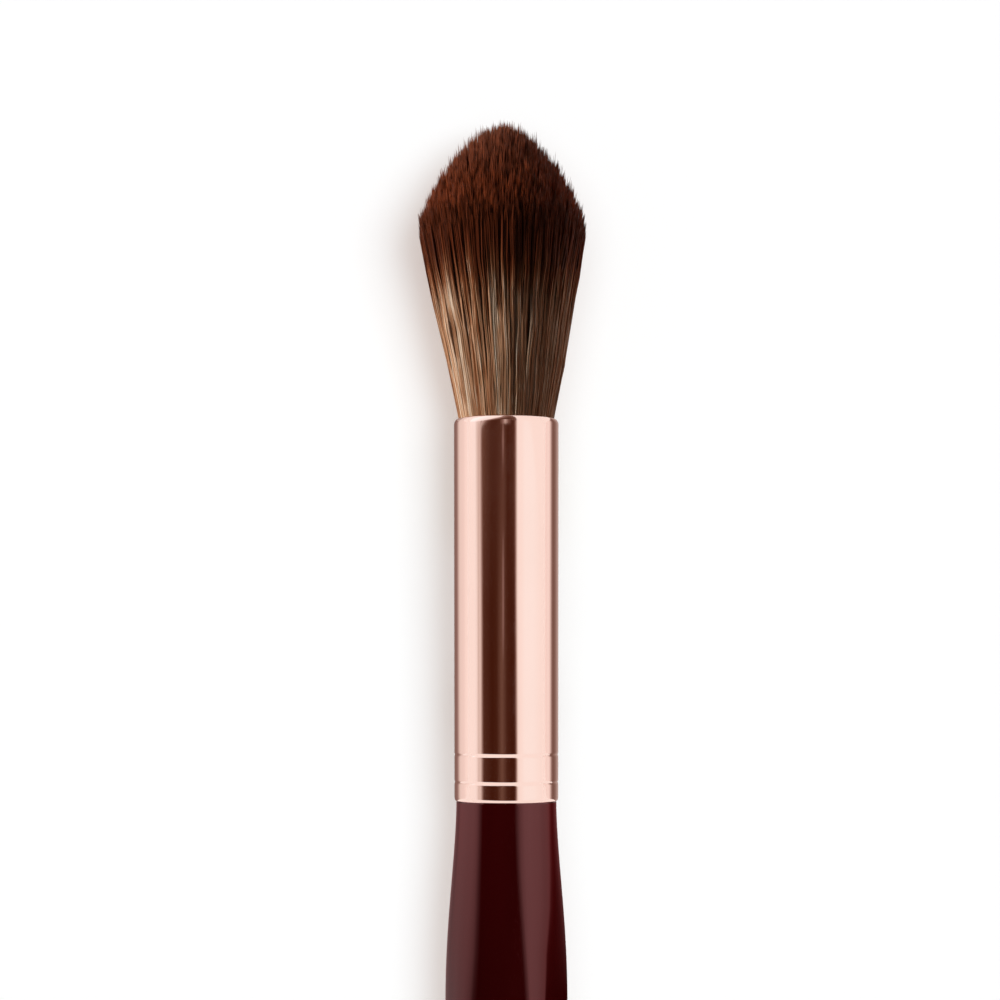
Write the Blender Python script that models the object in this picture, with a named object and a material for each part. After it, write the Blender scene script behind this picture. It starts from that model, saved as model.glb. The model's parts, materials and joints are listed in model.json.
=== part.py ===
"""A powder brush at rest on a table: a domed hair head, a drawn metal ferrule and a turned, lacquered handle.

Each piece is modelled about its own +Z, which runs along the brush towards the hair, with zero at the
ferrule's mouth. An empty named brush then lays them down along world +Y, on the hair's belly and the
handle's bulge. Sizes are in metres.
"""

import math
import random

import bmesh
import bpy
from mathutils import Vector

# Ferrule: a drawn tube with its mouth turned in and two grooves rolled into it near the handle
FERRULE_RADIUS = 0.0065
FERRULE_LENGTH = 0.0475
FERRULE_WALL = 0.00035
LIP_TURN_IN = 0.00046
LIP_HEIGHT = 0.0007
FOOT_TURN_IN = 0.00026
FOOT_HEIGHT = 0.00045
GROOVE_DEPTH = 0.00013
GROOVE_WIDTH = 0.00052
GROOVE_HEIGHTS = (0.0022, 0.0057)

# Hair: the bundle stands in epoxy below the mouth and fans out to a belly, under a tapered dome
HAIR_CLEARANCE = 0.0001
HAIR_LENGTH = 0.0368
HAIR_FLARE = 0.19
BELLY_RADIUS = 0.0102
DOME_HEIGHT = 0.0115
DOME_FULLNESS = 1.15
DOME_ROUNDNESS = 1.48
TIP_TAPER = 0.0028
TIP_UNEVENNESS = 0.00035
BELLY_PRESS = 0.0005

# Strands: the bundle's circle is cut into 6 x rings x rings triangular cells, one strand in each
STRAND_RINGS = 8
STRAND_ROOT_FILL = 0.8
STRAND_FULL_FILL = 0.92
STRAND_SEED = 7

# Epoxy: a slice that the strands grow from, and the rest of the plug under it
HAIR_SET_DEPTH = 0.004
SLICE_THICKNESS = 0.0015
PLUG_LENGTH = 0.0085
PLUG_HOLLOW = 0.0009

# Handle: a tenon in the ferrule, then a body with a neck, a bulge and a tail that draws down to the butt
TENON_LENGTH = 0.018
TENON_CHAMFER = 0.0006
HANDLE_LENGTH = 0.091
SHOULDER_GAP = 0.0001
NECK_STEP_IN = 0.0003
BULGE_RADIUS = 0.00752
BULGE_DISTANCE = 0.0242
TAIL_DRAW = 0.8
BUTT_RADIUS = 0.0041
BUTT_ROUND = 0.0045
BUTT_LAND_RADIUS = 0.002

# Glue: rings that cured in the grooves turned in the tenon
GLUE_LINE = 0.0001
GLUE_GROOVES = 2
GLUE_GROOVE_DEPTH = 0.0005
GLUE_GROOVE_WIDTH = 0.002

# Facets
SIDES = 6 * STRAND_RINGS
ARC_STEPS = 4
GROOVE_STEPS = 4
NECK_STEPS = 7
TAIL_STEPS = 9
SHARP_ANGLE = math.radians(35)

# Values that follow from those above
BORE_RADIUS = FERRULE_RADIUS - FERRULE_WALL
MOUTH_RADIUS = FERRULE_RADIUS - LIP_TURN_IN
BUNDLE_RADIUS = MOUTH_RADIUS - HAIR_CLEARANCE
FERRULE_FOOT = -FERRULE_LENGTH
SLICE_TOP = -HAIR_SET_DEPTH
SLICE_FOOT = SLICE_TOP - SLICE_THICKNESS
PLUG_RADIUS = BORE_RADIUS - GLUE_LINE
TENON_RADIUS = BORE_RADIUS - GLUE_LINE
TENON_TOP = FERRULE_FOOT + TENON_LENGTH
NECK_RADIUS = FERRULE_RADIUS - NECK_STEP_IN
SHOULDER = FERRULE_FOOT - SHOULDER_GAP
BULGE = FERRULE_FOOT - BULGE_DISTANCE
BUTT_END = FERRULE_FOOT - HANDLE_LENGTH
GLUE_GROOVE_FOOT = FERRULE_FOOT + max(GROOVE_HEIGHTS) + GROOVE_WIDTH / 2
GLUE_GROOVE_SPACING = (TENON_TOP - TENON_CHAMFER - GLUE_GROOVE_FOOT) / (GLUE_GROOVES + 1)
GLUE_HEIGHTS = [GLUE_GROOVE_FOOT + GLUE_GROOVE_SPACING * number for number in range(1, GLUE_GROOVES + 1)]

SIXTH_TURN = math.pi / 3
FIRST_CORNER = math.pi / 2


def ease(share):
    """0 at 0 and 1 at 1, level at both ends."""
    return (1 - math.cos(math.pi * share)) / 2


def quarter(centre, half_width, half_height, start, end):
    """Points of an ellipse's arc, as (radius, height), with 0 degrees pointing outwards and 90 up."""
    points = []
    for step in range(ARC_STEPS + 1):
        angle = math.radians(start + (end - start) * step / ARC_STEPS)
        outwards = centre[0] + half_width * math.cos(angle)
        upwards = centre[1] + half_height * math.sin(angle)
        points.append((outwards, upwards))
    return points


def rolled_grooves(radius):
    """Where a wall of this radius runs through the rolled grooves, from the lower groove's foot upwards.

    The ferrule's two faces and the tenon under them all follow the same grooves."""
    points = []
    for height in sorted(GROOVE_HEIGHTS):
        for step in range(GROOVE_STEPS + 1):
            share = step / GROOVE_STEPS
            rolled_in = GROOVE_DEPTH * ease(1 - abs(2 * share - 1))
            along = FERRULE_FOOT + height + GROOVE_WIDTH * (share - 0.5)
            points.append((radius - rolled_in, along))
    return points


def ferrule_profile():
    """The tube's wall as one closed outline: up the outside, round the turned-in lip and down the bore."""
    lip = (MOUTH_RADIUS, -LIP_HEIGHT)
    foot = (FERRULE_RADIUS - FOOT_TURN_IN, FERRULE_FOOT + FOOT_HEIGHT)
    outside = quarter(foot, FOOT_TURN_IN, FOOT_HEIGHT, -90, 0)
    outside += rolled_grooves(FERRULE_RADIUS)
    outside += quarter(lip, LIP_TURN_IN, LIP_HEIGHT, 0, 90)
    inside = quarter(lip, LIP_TURN_IN - FERRULE_WALL, LIP_HEIGHT - FERRULE_WALL, 90, 0)
    inside += rolled_grooves(BORE_RADIUS)[::-1]
    inside.append((BORE_RADIUS, FERRULE_FOOT))
    return outside + inside


def body_outline():
    """The handle's visible body, from its neck through the bulge to where the butt starts to round off."""
    outline = [(NECK_RADIUS, SHOULDER)]
    for step in range(1, NECK_STEPS + 1):
        share = step / NECK_STEPS
        radius = NECK_RADIUS + (BULGE_RADIUS - NECK_RADIUS) * ease(share)
        outline.append((radius, SHOULDER + (BULGE - SHOULDER) * share))
    butt_shoulder = BUTT_END + BUTT_ROUND
    for step in range(1, TAIL_STEPS):
        share = step / TAIL_STEPS
        drawn = ease(TAIL_DRAW * share) / ease(TAIL_DRAW)
        radius = BULGE_RADIUS + (BUTT_RADIUS - BULGE_RADIUS) * drawn
        outline.append((radius, BULGE + (butt_shoulder - BULGE) * share))
    return outline


def handle_profile():
    """From the tenon's end face down to the butt's flat land."""
    groove_radius = TENON_RADIUS - GLUE_GROOVE_DEPTH
    half = GLUE_GROOVE_WIDTH / 2
    outline = [(TENON_RADIUS - TENON_CHAMFER, TENON_TOP), (TENON_RADIUS, TENON_TOP - TENON_CHAMFER)]
    for middle in reversed(GLUE_HEIGHTS):
        outline += [(TENON_RADIUS, middle + half), (groove_radius, middle + half)]
        outline += [(groove_radius, middle - half), (TENON_RADIUS, middle - half)]
    outline += rolled_grooves(TENON_RADIUS)[::-1]
    outline.append((TENON_RADIUS, SHOULDER))
    outline += body_outline()
    butt_centre = (BUTT_LAND_RADIUS, BUTT_END + BUTT_ROUND)
    outline += quarter(butt_centre, BUTT_RADIUS - BUTT_LAND_RADIUS, BUTT_ROUND, 0, -90)
    return outline


def plug_profile():
    """A full plug of epoxy whose lower face is hollow, because it creeps down the wall as it cures."""
    top = SLICE_FOOT - GLUE_LINE
    foot = top - PLUG_LENGTH
    return [(0, top), (PLUG_RADIUS, top)] + quarter((0, foot), PLUG_RADIUS, PLUG_HOLLOW, 0, 90)


def glue_ring_profile(middle):
    """A ring that fills its groove in the tenon, as wide as the tenon round it."""
    inner = TENON_RADIUS - GLUE_GROOVE_DEPTH + GLUE_LINE
    top = middle + GLUE_GROOVE_WIDTH / 2 - GLUE_LINE
    foot = middle - GLUE_GROOVE_WIDTH / 2 + GLUE_LINE
    return [(inner, foot), (TENON_RADIUS, foot), (TENON_RADIUS, top), (inner, top)]


def fan_radius(height):
    """How wide the bundle's outermost hairs stand at this height above the mouth."""
    return BUNDLE_RADIUS + HAIR_FLARE * max(height, 0)


def dome_radius(height):
    """The cut outline of the hair: the belly's width below the dome, and a rounded point above it."""
    below_tip = min(max((HAIR_LENGTH - height) / DOME_HEIGHT, 0), 1)
    return BELLY_RADIUS * (1 - (1 - below_tip) ** DOME_FULLNESS) ** (1 / DOME_ROUNDNESS)


def tip_height(share):
    """Where a hair ends whose root stands at this share of the bundle's radius."""
    low, high = 0.0, HAIR_LENGTH
    for _ in range(40):
        middle = (low + high) / 2
        if dome_radius(middle) > share * fan_radius(middle):
            low = middle
        else:
            high = middle
    return low


def find_table():
    """The table as seen from the brush's axis: how far below the mouth it lies, and how fast it falls away.

    It presses into the hair's belly and touches the handle where the body swells most."""
    belly = tip_height(1)
    depth = fan_radius(belly) - BELLY_PRESS
    slope = min((depth - radius) / (belly - along) for radius, along in body_outline())
    return depth - slope * belly, slope


def pressed(point, table):
    """Where a point of the hair goes as the table flattens the belly, with the hair above it closing up."""
    outline = min(fan_radius(point.z), dome_radius(point.z))
    half_chord = math.sqrt(max(outline**2 - point.x**2, 0))
    depth, slope = table
    reach = depth + slope * point.z
    if point.y <= 0 or half_chord <= reach:
        return point
    return Vector((point.x, min(point.y * reach / half_chord, reach), point.z))


def rounded(point):
    """Moves a point of the unit hexagon onto the unit circle, with each ring's points evenly spaced."""
    turn = math.atan2(point.y, point.x) - FIRST_CORNER
    sector = math.floor(turn / SIXTH_TURN)
    across = turn - (sector + 0.5) * SIXTH_TURN
    ring = point.xy.length * math.cos(across) / math.cos(SIXTH_TURN / 2)
    along_side = 0.5 + math.tan(across) / (2 * math.tan(SIXTH_TURN / 2))
    angle = FIRST_CORNER + (sector + along_side) * SIXTH_TURN
    return Vector((ring * math.cos(angle), ring * math.sin(angle), 0))


def move_strand(face, fan, fill, height):
    """Fans a strand's end face out from the axis, fills its cell by this much more and lifts it."""
    centre = face.calc_center_median()
    for vertex in face.verts:
        from_centre = vertex.co - centre
        vertex.co = centre * fan + from_centre * fan * fill
        vertex.co.z = height


def grow_strands(bm, cells, chance):
    """Draws one three-sided strand up out of each cell: straight to the mouth, then fanned, then to a point."""
    bmesh.ops.inset_individual(bm, faces=cells, thickness=0)
    for face in cells:
        move_strand(face, 1, STRAND_ROOT_FILL, SLICE_TOP)
    outermost = max(face.calc_center_median().xy.length for face in cells)

    strands = bmesh.ops.extrude_discrete_faces(bm, faces=cells)["faces"]
    for face in strands:
        move_strand(face, 1, 1, 0)

    strands = bmesh.ops.extrude_discrete_faces(bm, faces=strands)["faces"]
    tips = []
    for face in strands:
        root = face.calc_center_median().xy
        share = root.length / outermost
        tip = tip_height(share)
        shoulder = tip - TIP_TAPER
        fan = fan_radius(shoulder) / BUNDLE_RADIUS
        move_strand(face, fan, STRAND_FULL_FILL / STRAND_ROOT_FILL, shoulder)
        sideways = root.normalized() * share * fan_radius(tip)
        tips.append(sideways.to_3d() + Vector((0, 0, tip + chance.uniform(-1, 1) * TIP_UNEVENNESS)))

    points = bmesh.ops.poke(bm, faces=strands)["verts"]
    for vertex, tip in zip(points, tips):
        vertex.co = tip


def bristle_mesh(table):
    """The strands and, in one body with them, the slice of epoxy that they stand in."""
    bm = bmesh.new()
    bmesh.ops.create_circle(bm, cap_ends=True, cap_tris=True, segments=6, radius=1)
    bmesh.ops.subdivide_edges(bm, edges=bm.edges[:], cuts=STRAND_RINGS - 1, use_grid_fill=True)
    for vertex in bm.verts:
        vertex.co = rounded(vertex.co) * BUNDLE_RADIUS
        vertex.co.z = SLICE_TOP
    bmesh.ops.recalc_face_normals(bm, faces=bm.faces)
    if bm.faces[0].normal.z < 0:
        bmesh.ops.reverse_faces(bm, faces=bm.faces)
    cells = bm.faces[:]

    rim = [edge for edge in bm.edges if edge.is_boundary]
    for radius, height in ((PLUG_RADIUS, SLICE_TOP), (PLUG_RADIUS, SLICE_FOOT)):
        grown = bmesh.ops.extrude_edge_only(bm, edges=rim)["geom"]
        rim = [item for item in grown if isinstance(item, bmesh.types.BMEdge)]
        for vertex in {vertex for edge in rim for vertex in edge.verts}:
            vertex.co = (vertex.co.xy.normalized() * radius).to_3d()
            vertex.co.z = height
    bmesh.ops.holes_fill(bm, edges=rim)

    grow_strands(bm, cells, random.Random(STRAND_SEED))
    for vertex in bm.verts:
        vertex.co = pressed(vertex.co, table)
    bmesh.ops.recalc_face_normals(bm, faces=bm.faces)
    return bm


def turned_mesh(profile, closed):
    """A profile turned about the axis. A closed one makes a ring, and an open one gets flat ends."""
    bm = bmesh.new()
    corners = [bm.verts.new((radius, 0, height)) for radius, height in profile]
    pairs = list(zip(corners, corners[1:]))
    if closed:
        pairs.append((corners[-1], corners[0]))
    edges = [bm.edges.new(pair) for pair in pairs]
    bmesh.ops.spin(
        bm,
        geom=corners + edges,
        axis=(0, 0, 1),
        cent=(0, 0, 0),
        angle=2 * math.pi,
        steps=SIDES,
        use_merge=True,
    )
    bmesh.ops.remove_doubles(bm, verts=bm.verts, dist=1e-7)
    ends = [edge for edge in bm.edges if edge.is_boundary]
    if ends:
        bmesh.ops.holes_fill(bm, edges=ends)
    bmesh.ops.recalc_face_normals(bm, faces=bm.faces)
    return bm


def plain_material(name, colour, roughness, metallic=0):
    """A material of one colour."""
    material = bpy.data.materials.new(name)
    material.use_nodes = True
    shader = material.node_tree.nodes["Principled BSDF"]
    shader.inputs["Base Color"].default_value = (*colour, 1)
    shader.inputs["Roughness"].default_value = roughness
    shader.inputs["Metallic"].default_value = metallic
    return material


def dyed_hair(name, root_colour, tip_colour, dye_start, dye_end):
    """Hair of one colour at the root and another at the tip, which change over between two heights."""
    material = plain_material(name, tip_colour, roughness=0.55)
    nodes, links = material.node_tree.nodes, material.node_tree.links
    place = nodes.new("ShaderNodeTexCoord")
    height = nodes.new("ShaderNodeSeparateXYZ")
    dye = nodes.new("ShaderNodeMapRange")
    dye.inputs["From Min"].default_value = dye_start
    dye.inputs["From Max"].default_value = dye_end
    blend = nodes.new("ShaderNodeMix")
    blend.data_type = "RGBA"
    blend.inputs["A"].default_value = (*root_colour, 1)
    blend.inputs["B"].default_value = (*tip_colour, 1)
    links.new(place.outputs["Object"], height.inputs["Vector"])
    links.new(height.outputs["Z"], dye.inputs["Value"])
    links.new(dye.outputs["Result"], blend.inputs["Factor"])
    links.new(blend.outputs["Result"], nodes["Principled BSDF"].inputs["Base Color"])
    return material


def add_piece(name, bm, material, brush):
    """Makes the named object, smooth over its round faces, and hangs it on the brush."""
    mesh = bpy.data.meshes.new(name)
    bm.to_mesh(mesh)
    bm.free()
    mesh.materials.append(material)
    mesh.shade_smooth()
    mesh.set_sharp_from_angle(angle=SHARP_ANGLE)
    piece = bpy.data.objects.new(name, mesh)
    bpy.context.scene.collection.objects.link(piece)
    piece.parent = brush
    return piece


def lay_down(brush, pieces, table):
    """Turns the brush from upright to lying along +Y, sets it on the table and centres its length."""
    depth, slope = table
    tilt = math.atan(slope)
    brush.rotation_euler.x = tilt - math.pi / 2
    brush.location.z = depth * math.cos(tilt)
    bpy.context.view_layer.update()
    along = [(piece.matrix_world @ vertex.co).y for piece in pieces for vertex in piece.data.vertices]
    brush.location.y = -(min(along) + max(along)) / 2


def build():
    for thing in list(bpy.data.objects):
        bpy.data.objects.remove(thing)
    brush = bpy.data.objects.new("brush", None)
    bpy.context.scene.collection.objects.link(brush)

    hair = dyed_hair("two_tone_hair", (0.4, 0.24, 0.13), (0.055, 0.014, 0.006), dye_start=0.009, dye_end=0.019)
    epoxy = plain_material("cured_epoxy", (0.42, 0.33, 0.18), roughness=0.3)
    rose_gold = plain_material("rose_gold_plate", (0.93, 0.66, 0.55), roughness=0.12, metallic=1)
    lacquer = plain_material("burgundy_lacquer", (0.035, 0.002, 0.003), roughness=0.08)

    table = find_table()
    pieces = [
        add_piece("bristle_head", bristle_mesh(table), hair, brush),
        add_piece("epoxy_plug", turned_mesh(plug_profile(), closed=False), epoxy, brush),
        add_piece("ferrule", turned_mesh(ferrule_profile(), closed=True), rose_gold, brush),
        add_piece("handle", turned_mesh(handle_profile(), closed=False), lacquer, brush),
    ]
    for number, middle in enumerate(GLUE_HEIGHTS, start=1):
        ring = turned_mesh(glue_ring_profile(middle), closed=True)
        pieces.append(add_piece(f"glue_ring_{number}", ring, epoxy, brush))
    lay_down(brush, pieces, table)


build()
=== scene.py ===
"""The looks of a powder brush: its hair, ferrule, handle and inner parts, and the table it lies on.

Every length is in metres. A piece is shaped in the brush's own frame, with +Z along the brush towards the
hair, +Y down towards the table and zero at the ferrule's mouth, and is then laid where the frame has it.
"""

import json
import math

import bmesh
import bpy
import numpy as np
from bpy.props import FloatProperty, FloatVectorProperty, IntProperty, PointerProperty
from mathutils import Matrix, Vector
from mathutils.kdtree import KDTree

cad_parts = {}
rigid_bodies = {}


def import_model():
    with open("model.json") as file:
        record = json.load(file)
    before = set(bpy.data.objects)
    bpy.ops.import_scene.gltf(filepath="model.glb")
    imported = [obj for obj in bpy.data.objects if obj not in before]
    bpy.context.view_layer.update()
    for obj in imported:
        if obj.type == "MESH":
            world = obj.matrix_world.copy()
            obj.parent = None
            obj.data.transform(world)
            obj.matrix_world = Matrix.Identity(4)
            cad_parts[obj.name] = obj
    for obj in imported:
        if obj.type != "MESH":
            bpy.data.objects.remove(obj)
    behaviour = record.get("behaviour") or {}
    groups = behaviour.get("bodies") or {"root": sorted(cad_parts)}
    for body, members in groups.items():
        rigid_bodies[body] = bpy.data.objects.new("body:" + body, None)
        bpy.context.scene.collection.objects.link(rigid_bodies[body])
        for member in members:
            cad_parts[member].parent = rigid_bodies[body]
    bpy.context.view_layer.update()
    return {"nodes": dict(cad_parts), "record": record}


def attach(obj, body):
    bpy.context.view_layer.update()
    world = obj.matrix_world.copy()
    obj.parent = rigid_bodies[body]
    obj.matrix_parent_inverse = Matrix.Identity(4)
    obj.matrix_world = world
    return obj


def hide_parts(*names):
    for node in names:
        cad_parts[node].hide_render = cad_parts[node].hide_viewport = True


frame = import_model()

bl_info = {
    "name": "Powder Brush",
    "version": (1, 0, 0),
    "blender": (4, 5, 0),
    "location": "View3D > Sidebar > Powder Brush",
    "description": "Dresses a powder brush with bristles, rose gold plate, lacquer, epoxy and glue",
    "category": "Object",
}

BODY = "root"
BUTT_MOUNT = frame["record"]["mounts"][0]
BUTT = Vector(BUTT_MOUNT["pos_m"])
ALONG = -Vector(BUTT_MOUNT["axis"])
RIGHT = Vector((1, 0, 0))
DOWN = ALONG.cross(RIGHT)
BAKED_UV = "OFBake"
MERGE_DISTANCE = 1e-7
SHARP_ANGLE = math.radians(35)


def reach(node):
    """How far from the butt a node starts and ends, and its largest radius about the brush's axis."""
    from_butt = [vertex.co - BUTT for vertex in frame["nodes"][node].data.vertices]
    along = [place.dot(ALONG) for place in from_butt]
    radius = max((place - ALONG * distance).length for place, distance in zip(from_butt, along))
    return min(along), max(along), radius


FERRULE_START, MOUTH_FROM_BUTT, FERRULE_RADIUS = reach("ferrule")
MOUTH = BUTT + ALONG * MOUTH_FROM_BUTT
FERRULE_FOOT = FERRULE_START - MOUTH_FROM_BUTT
BUTT_END = -MOUTH_FROM_BUTT
TENON_TOP = reach("handle")[1] - MOUTH_FROM_BUTT
BULGE_RADIUS = reach("handle")[2]
SLICE_FOOT = reach("bristle_head")[0] - MOUTH_FROM_BUTT
PLUG_RADIUS = reach("epoxy_plug")[2]
LAID_DOWN = Matrix((RIGHT, DOWN, ALONG)).transposed().to_4x4()
LAID_DOWN.translation = MOUTH


def length(name, description, default):
    """A size in metres, which the panel shows in the scene's units."""
    return FloatProperty(name=name, description=description, default=default, precision=5, unit="LENGTH")


def share(name, description, default):
    """A plain number, such as a share of something or a strength."""
    return FloatProperty(name=name, description=description, default=default, precision=3)


def angle(name, description, degrees):
    """An angle, which is given in degrees and held in radians."""
    default = math.radians(degrees)
    return FloatProperty(name=name, description=description, default=default, subtype="ANGLE")


def watts(name, description, default):
    """The power of a lamp."""
    return FloatProperty(name=name, description=description, default=default, unit="POWER")


def colour(name, description, default):
    """A linear colour."""
    return FloatVectorProperty(name=name, description=description, default=default, subtype="COLOR")


class FerruleSettings(bpy.types.PropertyGroup):
    """The drawn tube, with its mouth turned in round the hair and two grooves rolled in near the handle."""

    wall: length("Wall", "Thickness of the drawn tube", 0.00035)
    cone: length("Cone", "How much wider the tube's outside is at its mouth than at its foot", 0.00013)
    lip_turn_in: length("Lip turn-in", "How far the mouth is turned in", 0.00046)
    lip_height: length("Lip height", "How long the turned-in lip is", 0.0007)
    foot_turn_in: length("Foot turn-in", "How far the foot is rounded in", 0.00026)
    foot_height: length("Foot height", "How long the rounded foot is", 0.0005)
    groove_depth: length("Groove depth", "How deep the grooves are rolled", 0.00008)
    groove_width: length("Groove width", "How wide each rolled groove is", 0.00062)
    lower_groove: length("Lower groove", "Height of the lower groove above the foot", 0.00234)
    upper_groove: length("Upper groove", "Height of the upper groove above the foot", 0.00574)
    plate: colour("Plate", "Colour of the rose gold plating", (0.995, 0.722, 0.637))
    polish: share("Roughness", "Roughness of the polished plating", 0.07)


class HandleSettings(bpy.types.PropertyGroup):
    """The turned and lacquered handle, with the tenon that sits in the ferrule."""

    fit: length("Fit", "Play between the tenon and the ferrule's bore, and at the shoulder", 0.0001)
    tenon_chamfer: length("Tenon chamfer", "Chamfer on the tenon's end", 0.0006)
    glue_groove_depth: length("Glue groove depth", "How deep the tenon's glue grooves are", 0.0005)
    neck_step_in: length("Neck step", "How much slimmer the neck is than the ferrule", 0.0003)
    bulge_distance: length("Bulge distance", "From the ferrule's foot to the widest place", 0.0242)
    neck_rise: share("Neck rise", "Power of the distance in the neck's S-curve", 0.85)
    tail_draw: share("Tail draw", "How far along its S-curve the tail is cut off by the butt", 0.8)
    butt_radius: length("Butt radius", "Radius where the butt starts to round off", 0.0041)
    butt_round: length("Butt round", "How long the rounded butt is", 0.0045)
    butt_land: length("Butt land", "Radius of the flat land on the butt", 0.002)
    lacquer: colour("Lacquer", "Colour of the lacquer", (0.0285, 0.0010, 0.0012))
    sheen_tint: colour("Reflection tint", "Tint of what the lacquer reflects", (1.0, 0.38, 0.38))
    gloss: share("Roughness", "Roughness of the lacquer", 0.035)
    refraction: share("IOR", "Index of refraction of the lacquer", 2.0)


class HairSettings(bpy.types.PropertyGroup):
    """The bristles: how they are bundled, fanned, cut to a dome and dyed."""

    count: IntProperty(name="Bristles", description="Bristles in the bundle", default=26400, min=8)
    locks: IntProperty(name="Locks", description="Objects that share the bristles", default=8, min=1)
    seed: IntProperty(name="Seed", description="Seed of all that varies from bristle to bristle", default=11)
    thickness: length("Thickness", "Diameter of a bristle", 0.000084)
    slice: length("Set depth", "How far below the mouth the bristles leave the epoxy", 0.004)
    clearance: length("Clearance", "Gap between the bundle and the turned-in mouth", 0.00012)
    height: length("Height", "From the mouth to the tip of the dome", 0.0374)
    flare: share("Flare", "How much wider the bundle gets for each metre of height", 0.1964)
    belly_radius: length("Belly radius", "Radius of the dome's foot", 0.0104)
    dome_height: length("Dome height", "Height of the cut dome", 0.0122)
    dome_fullness: share("Dome fullness", "Power of the height in the dome's curve", 1.04)
    dome_roundness: share("Dome roundness", "Power of the radius in the dome's curve", 1.81)
    taper: length("Tip taper", "How long a bristle's tapered tip is", 0.0018)
    lean: length("Lean", "How far the belly leans to the right of the axis", -0.0005)
    clumps: IntProperty(name="Clumps", description="Clumps that the tufts lean to", default=300)
    clump_gather: share("Clump gather", "How far a tip is drawn towards the middle of its clump", 0.16)
    clump_swell: share("Clump swell", "How unevenly the clumps stand out from the bundle", 0.006)
    tufts: IntProperty(name="Tufts", description="Tufts that the tips draw together in", default=1900)
    gather: share("Tuft gather", "How far a tip is drawn towards the middle of its tuft", 0.54)
    tuft_swell: share("Tuft swell", "How unevenly the tufts stand out from the bundle", 0.006)
    wave: length("Wave", "How far the clumps and tufts wave sideways", 0.00011)
    sway: length("Sway", "How far a tip strays sideways", 0.00016)
    stray: length("Tip unevenness", "How unevenly the tips are cut", 0.00033)
    root_light: colour("Light root", "Undyed bristles, the lightest", (0.74, 0.635, 0.51))
    root_middle: colour("Middle root", "Undyed bristles of middle tone", (0.37, 0.205, 0.117))
    root_dark: colour("Dark root", "Undyed bristles, the darkest", (0.16, 0.053, 0.019))
    tip_light: colour("Light tip", "Dyed bristles, the lightest", (0.175, 0.037, 0.012))
    tip_dark: colour("Dark tip", "Dyed bristles, the darkest", (0.062, 0.0100, 0.0025))
    # Painted light: the tips' colour at the top of the dome, lighter to stand in for light from above.
    tip_top_lit: colour("Top-lit tip", "Dyed bristles at the top of the dome", (0.185, 0.062, 0.034))
    stain: colour("Stain", "What a little dye leaves of a bristle's own colour", (0.72, 0.45, 0.30))
    dye_height: length("Dye height", "Height above the mouth where the dye is half strong", 0.0174)
    dye_blend: length("Dye blend", "Height over which the dye comes up on one bristle", 0.0068)
    dye_spread: length("Dye spread", "How much the dye's height varies between bristles", 0.004)
    sheen_tint: colour("Sheen tint", "Tint of what a bristle reflects", (1.0, 0.62, 0.42))
    dye_deepest: share("Deepest dye", "Lightness of the dye where it is deepest, as a share", 0.6)
    dye_fades: length("Dye fades", "Height above the mouth where the dye starts to lighten", 0.0240)


class InnerSettings(bpy.types.PropertyGroup):
    """What holds the brush together inside the ferrule."""

    amber: colour("Amber", "Clear part of the cured epoxy", (0.46, 0.33, 0.16))
    cloud: colour("Cloud", "Cloudy part of the cured epoxy", (0.60, 0.49, 0.30))
    glue: colour("Glue", "Colour of the cured wood glue", (0.62, 0.58, 0.48))
    glue_shade: colour("Glue shade", "Colour of the glue where wood tints it", (0.47, 0.38, 0.26))


class StageSettings(bpy.types.PropertyGroup):
    """The table, the lamps, what the polished pieces reflect, and the camera."""

    floor_size: length("Table size", "Length of the pale table's sides", 6.0)
    floor: colour("Table", "Colour of the table", (0.530, 0.633, 0.678))
    floor_lift: colour("Table lift", "Light added to the table where it is seen", (0.477, 0.374, 0.329))
    fill: colour("Fill", "Light from all round", (0.09, 0.09, 0.09))
    sky: share("Sky", "Light of the broad lamp above. 1 shows a colour as it is", 0.436)
    sky_spread: angle("Sky spread", "How wide the broad lamp above looks from the brush", 50)
    window: share("Window", "Light of the soft lamp at the right. 1 shows a colour as it is", 0.474)
    window_spread: angle("Window spread", "How wide the soft lamp looks from the brush", 30)
    window_lean: angle("Window lean", "How far the soft lamp stands from upright", 21.5)
    key_power: watts("Key", "Power of the hair's main lamp at its left", 6.7)
    key_tint: colour("Key tint", "Colour of the hair's main lamp", (1.0, 0.96, 0.915))
    side_power: watts("Side", "Power of the amber lamp at the hair's right", 0.45)
    side_tint: colour("Side tint", "Colour of the amber lamp", (1.0, 0.32, 0.06))
    rim_power: watts("Rim", "Power of the beam on the dome's right side", 5.0)
    rim_tint: colour("Rim tint", "Colour of the beam", (1.0, 0.46, 0.2))
    rim_spread: angle("Rim spread", "How wide the beam is", 3.0)
    camera_distance: length("Camera distance", "From the camera to the brush's axis", 0.279)
    camera_foot: length("Camera foot", "How far below the mouth the camera stands", 0.0308)
    camera_aim: length("Camera aim", "How far below the mouth the camera looks", 0.0101)
    camera_shift: length("Camera side", "How far the camera stands to the right", -0.00079)
    lens: FloatProperty(name="Lens", description="Focal length", default=80.4, unit="CAMERA")


class BrushSettings(bpy.types.PropertyGroup):
    """All the settings of the brush and its stage."""

    ferrule: PointerProperty(type=FerruleSettings)
    handle: PointerProperty(type=HandleSettings)
    hair: PointerProperty(type=HairSettings)
    inner: PointerProperty(type=InnerSettings)
    stage: PointerProperty(type=StageSettings)


def ease(part):
    """0 at 0 and 1 at 1, level at both ends."""
    return (1 - np.cos(np.pi * part)) / 2


def between(first, second, part):
    """The value at this share of the way from the first to the second."""
    return first + (second - first) * part


def clamped(part):
    """A share, held between 0 and 1."""
    return min(max(part, 0), 1)


# Meshes

SIDES = 192
ARC_STEPS = 12
GROOVE_STEPS = 16
NECK_STEPS = 32
TAIL_STEPS = 60
HOLD = 0.00012


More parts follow.
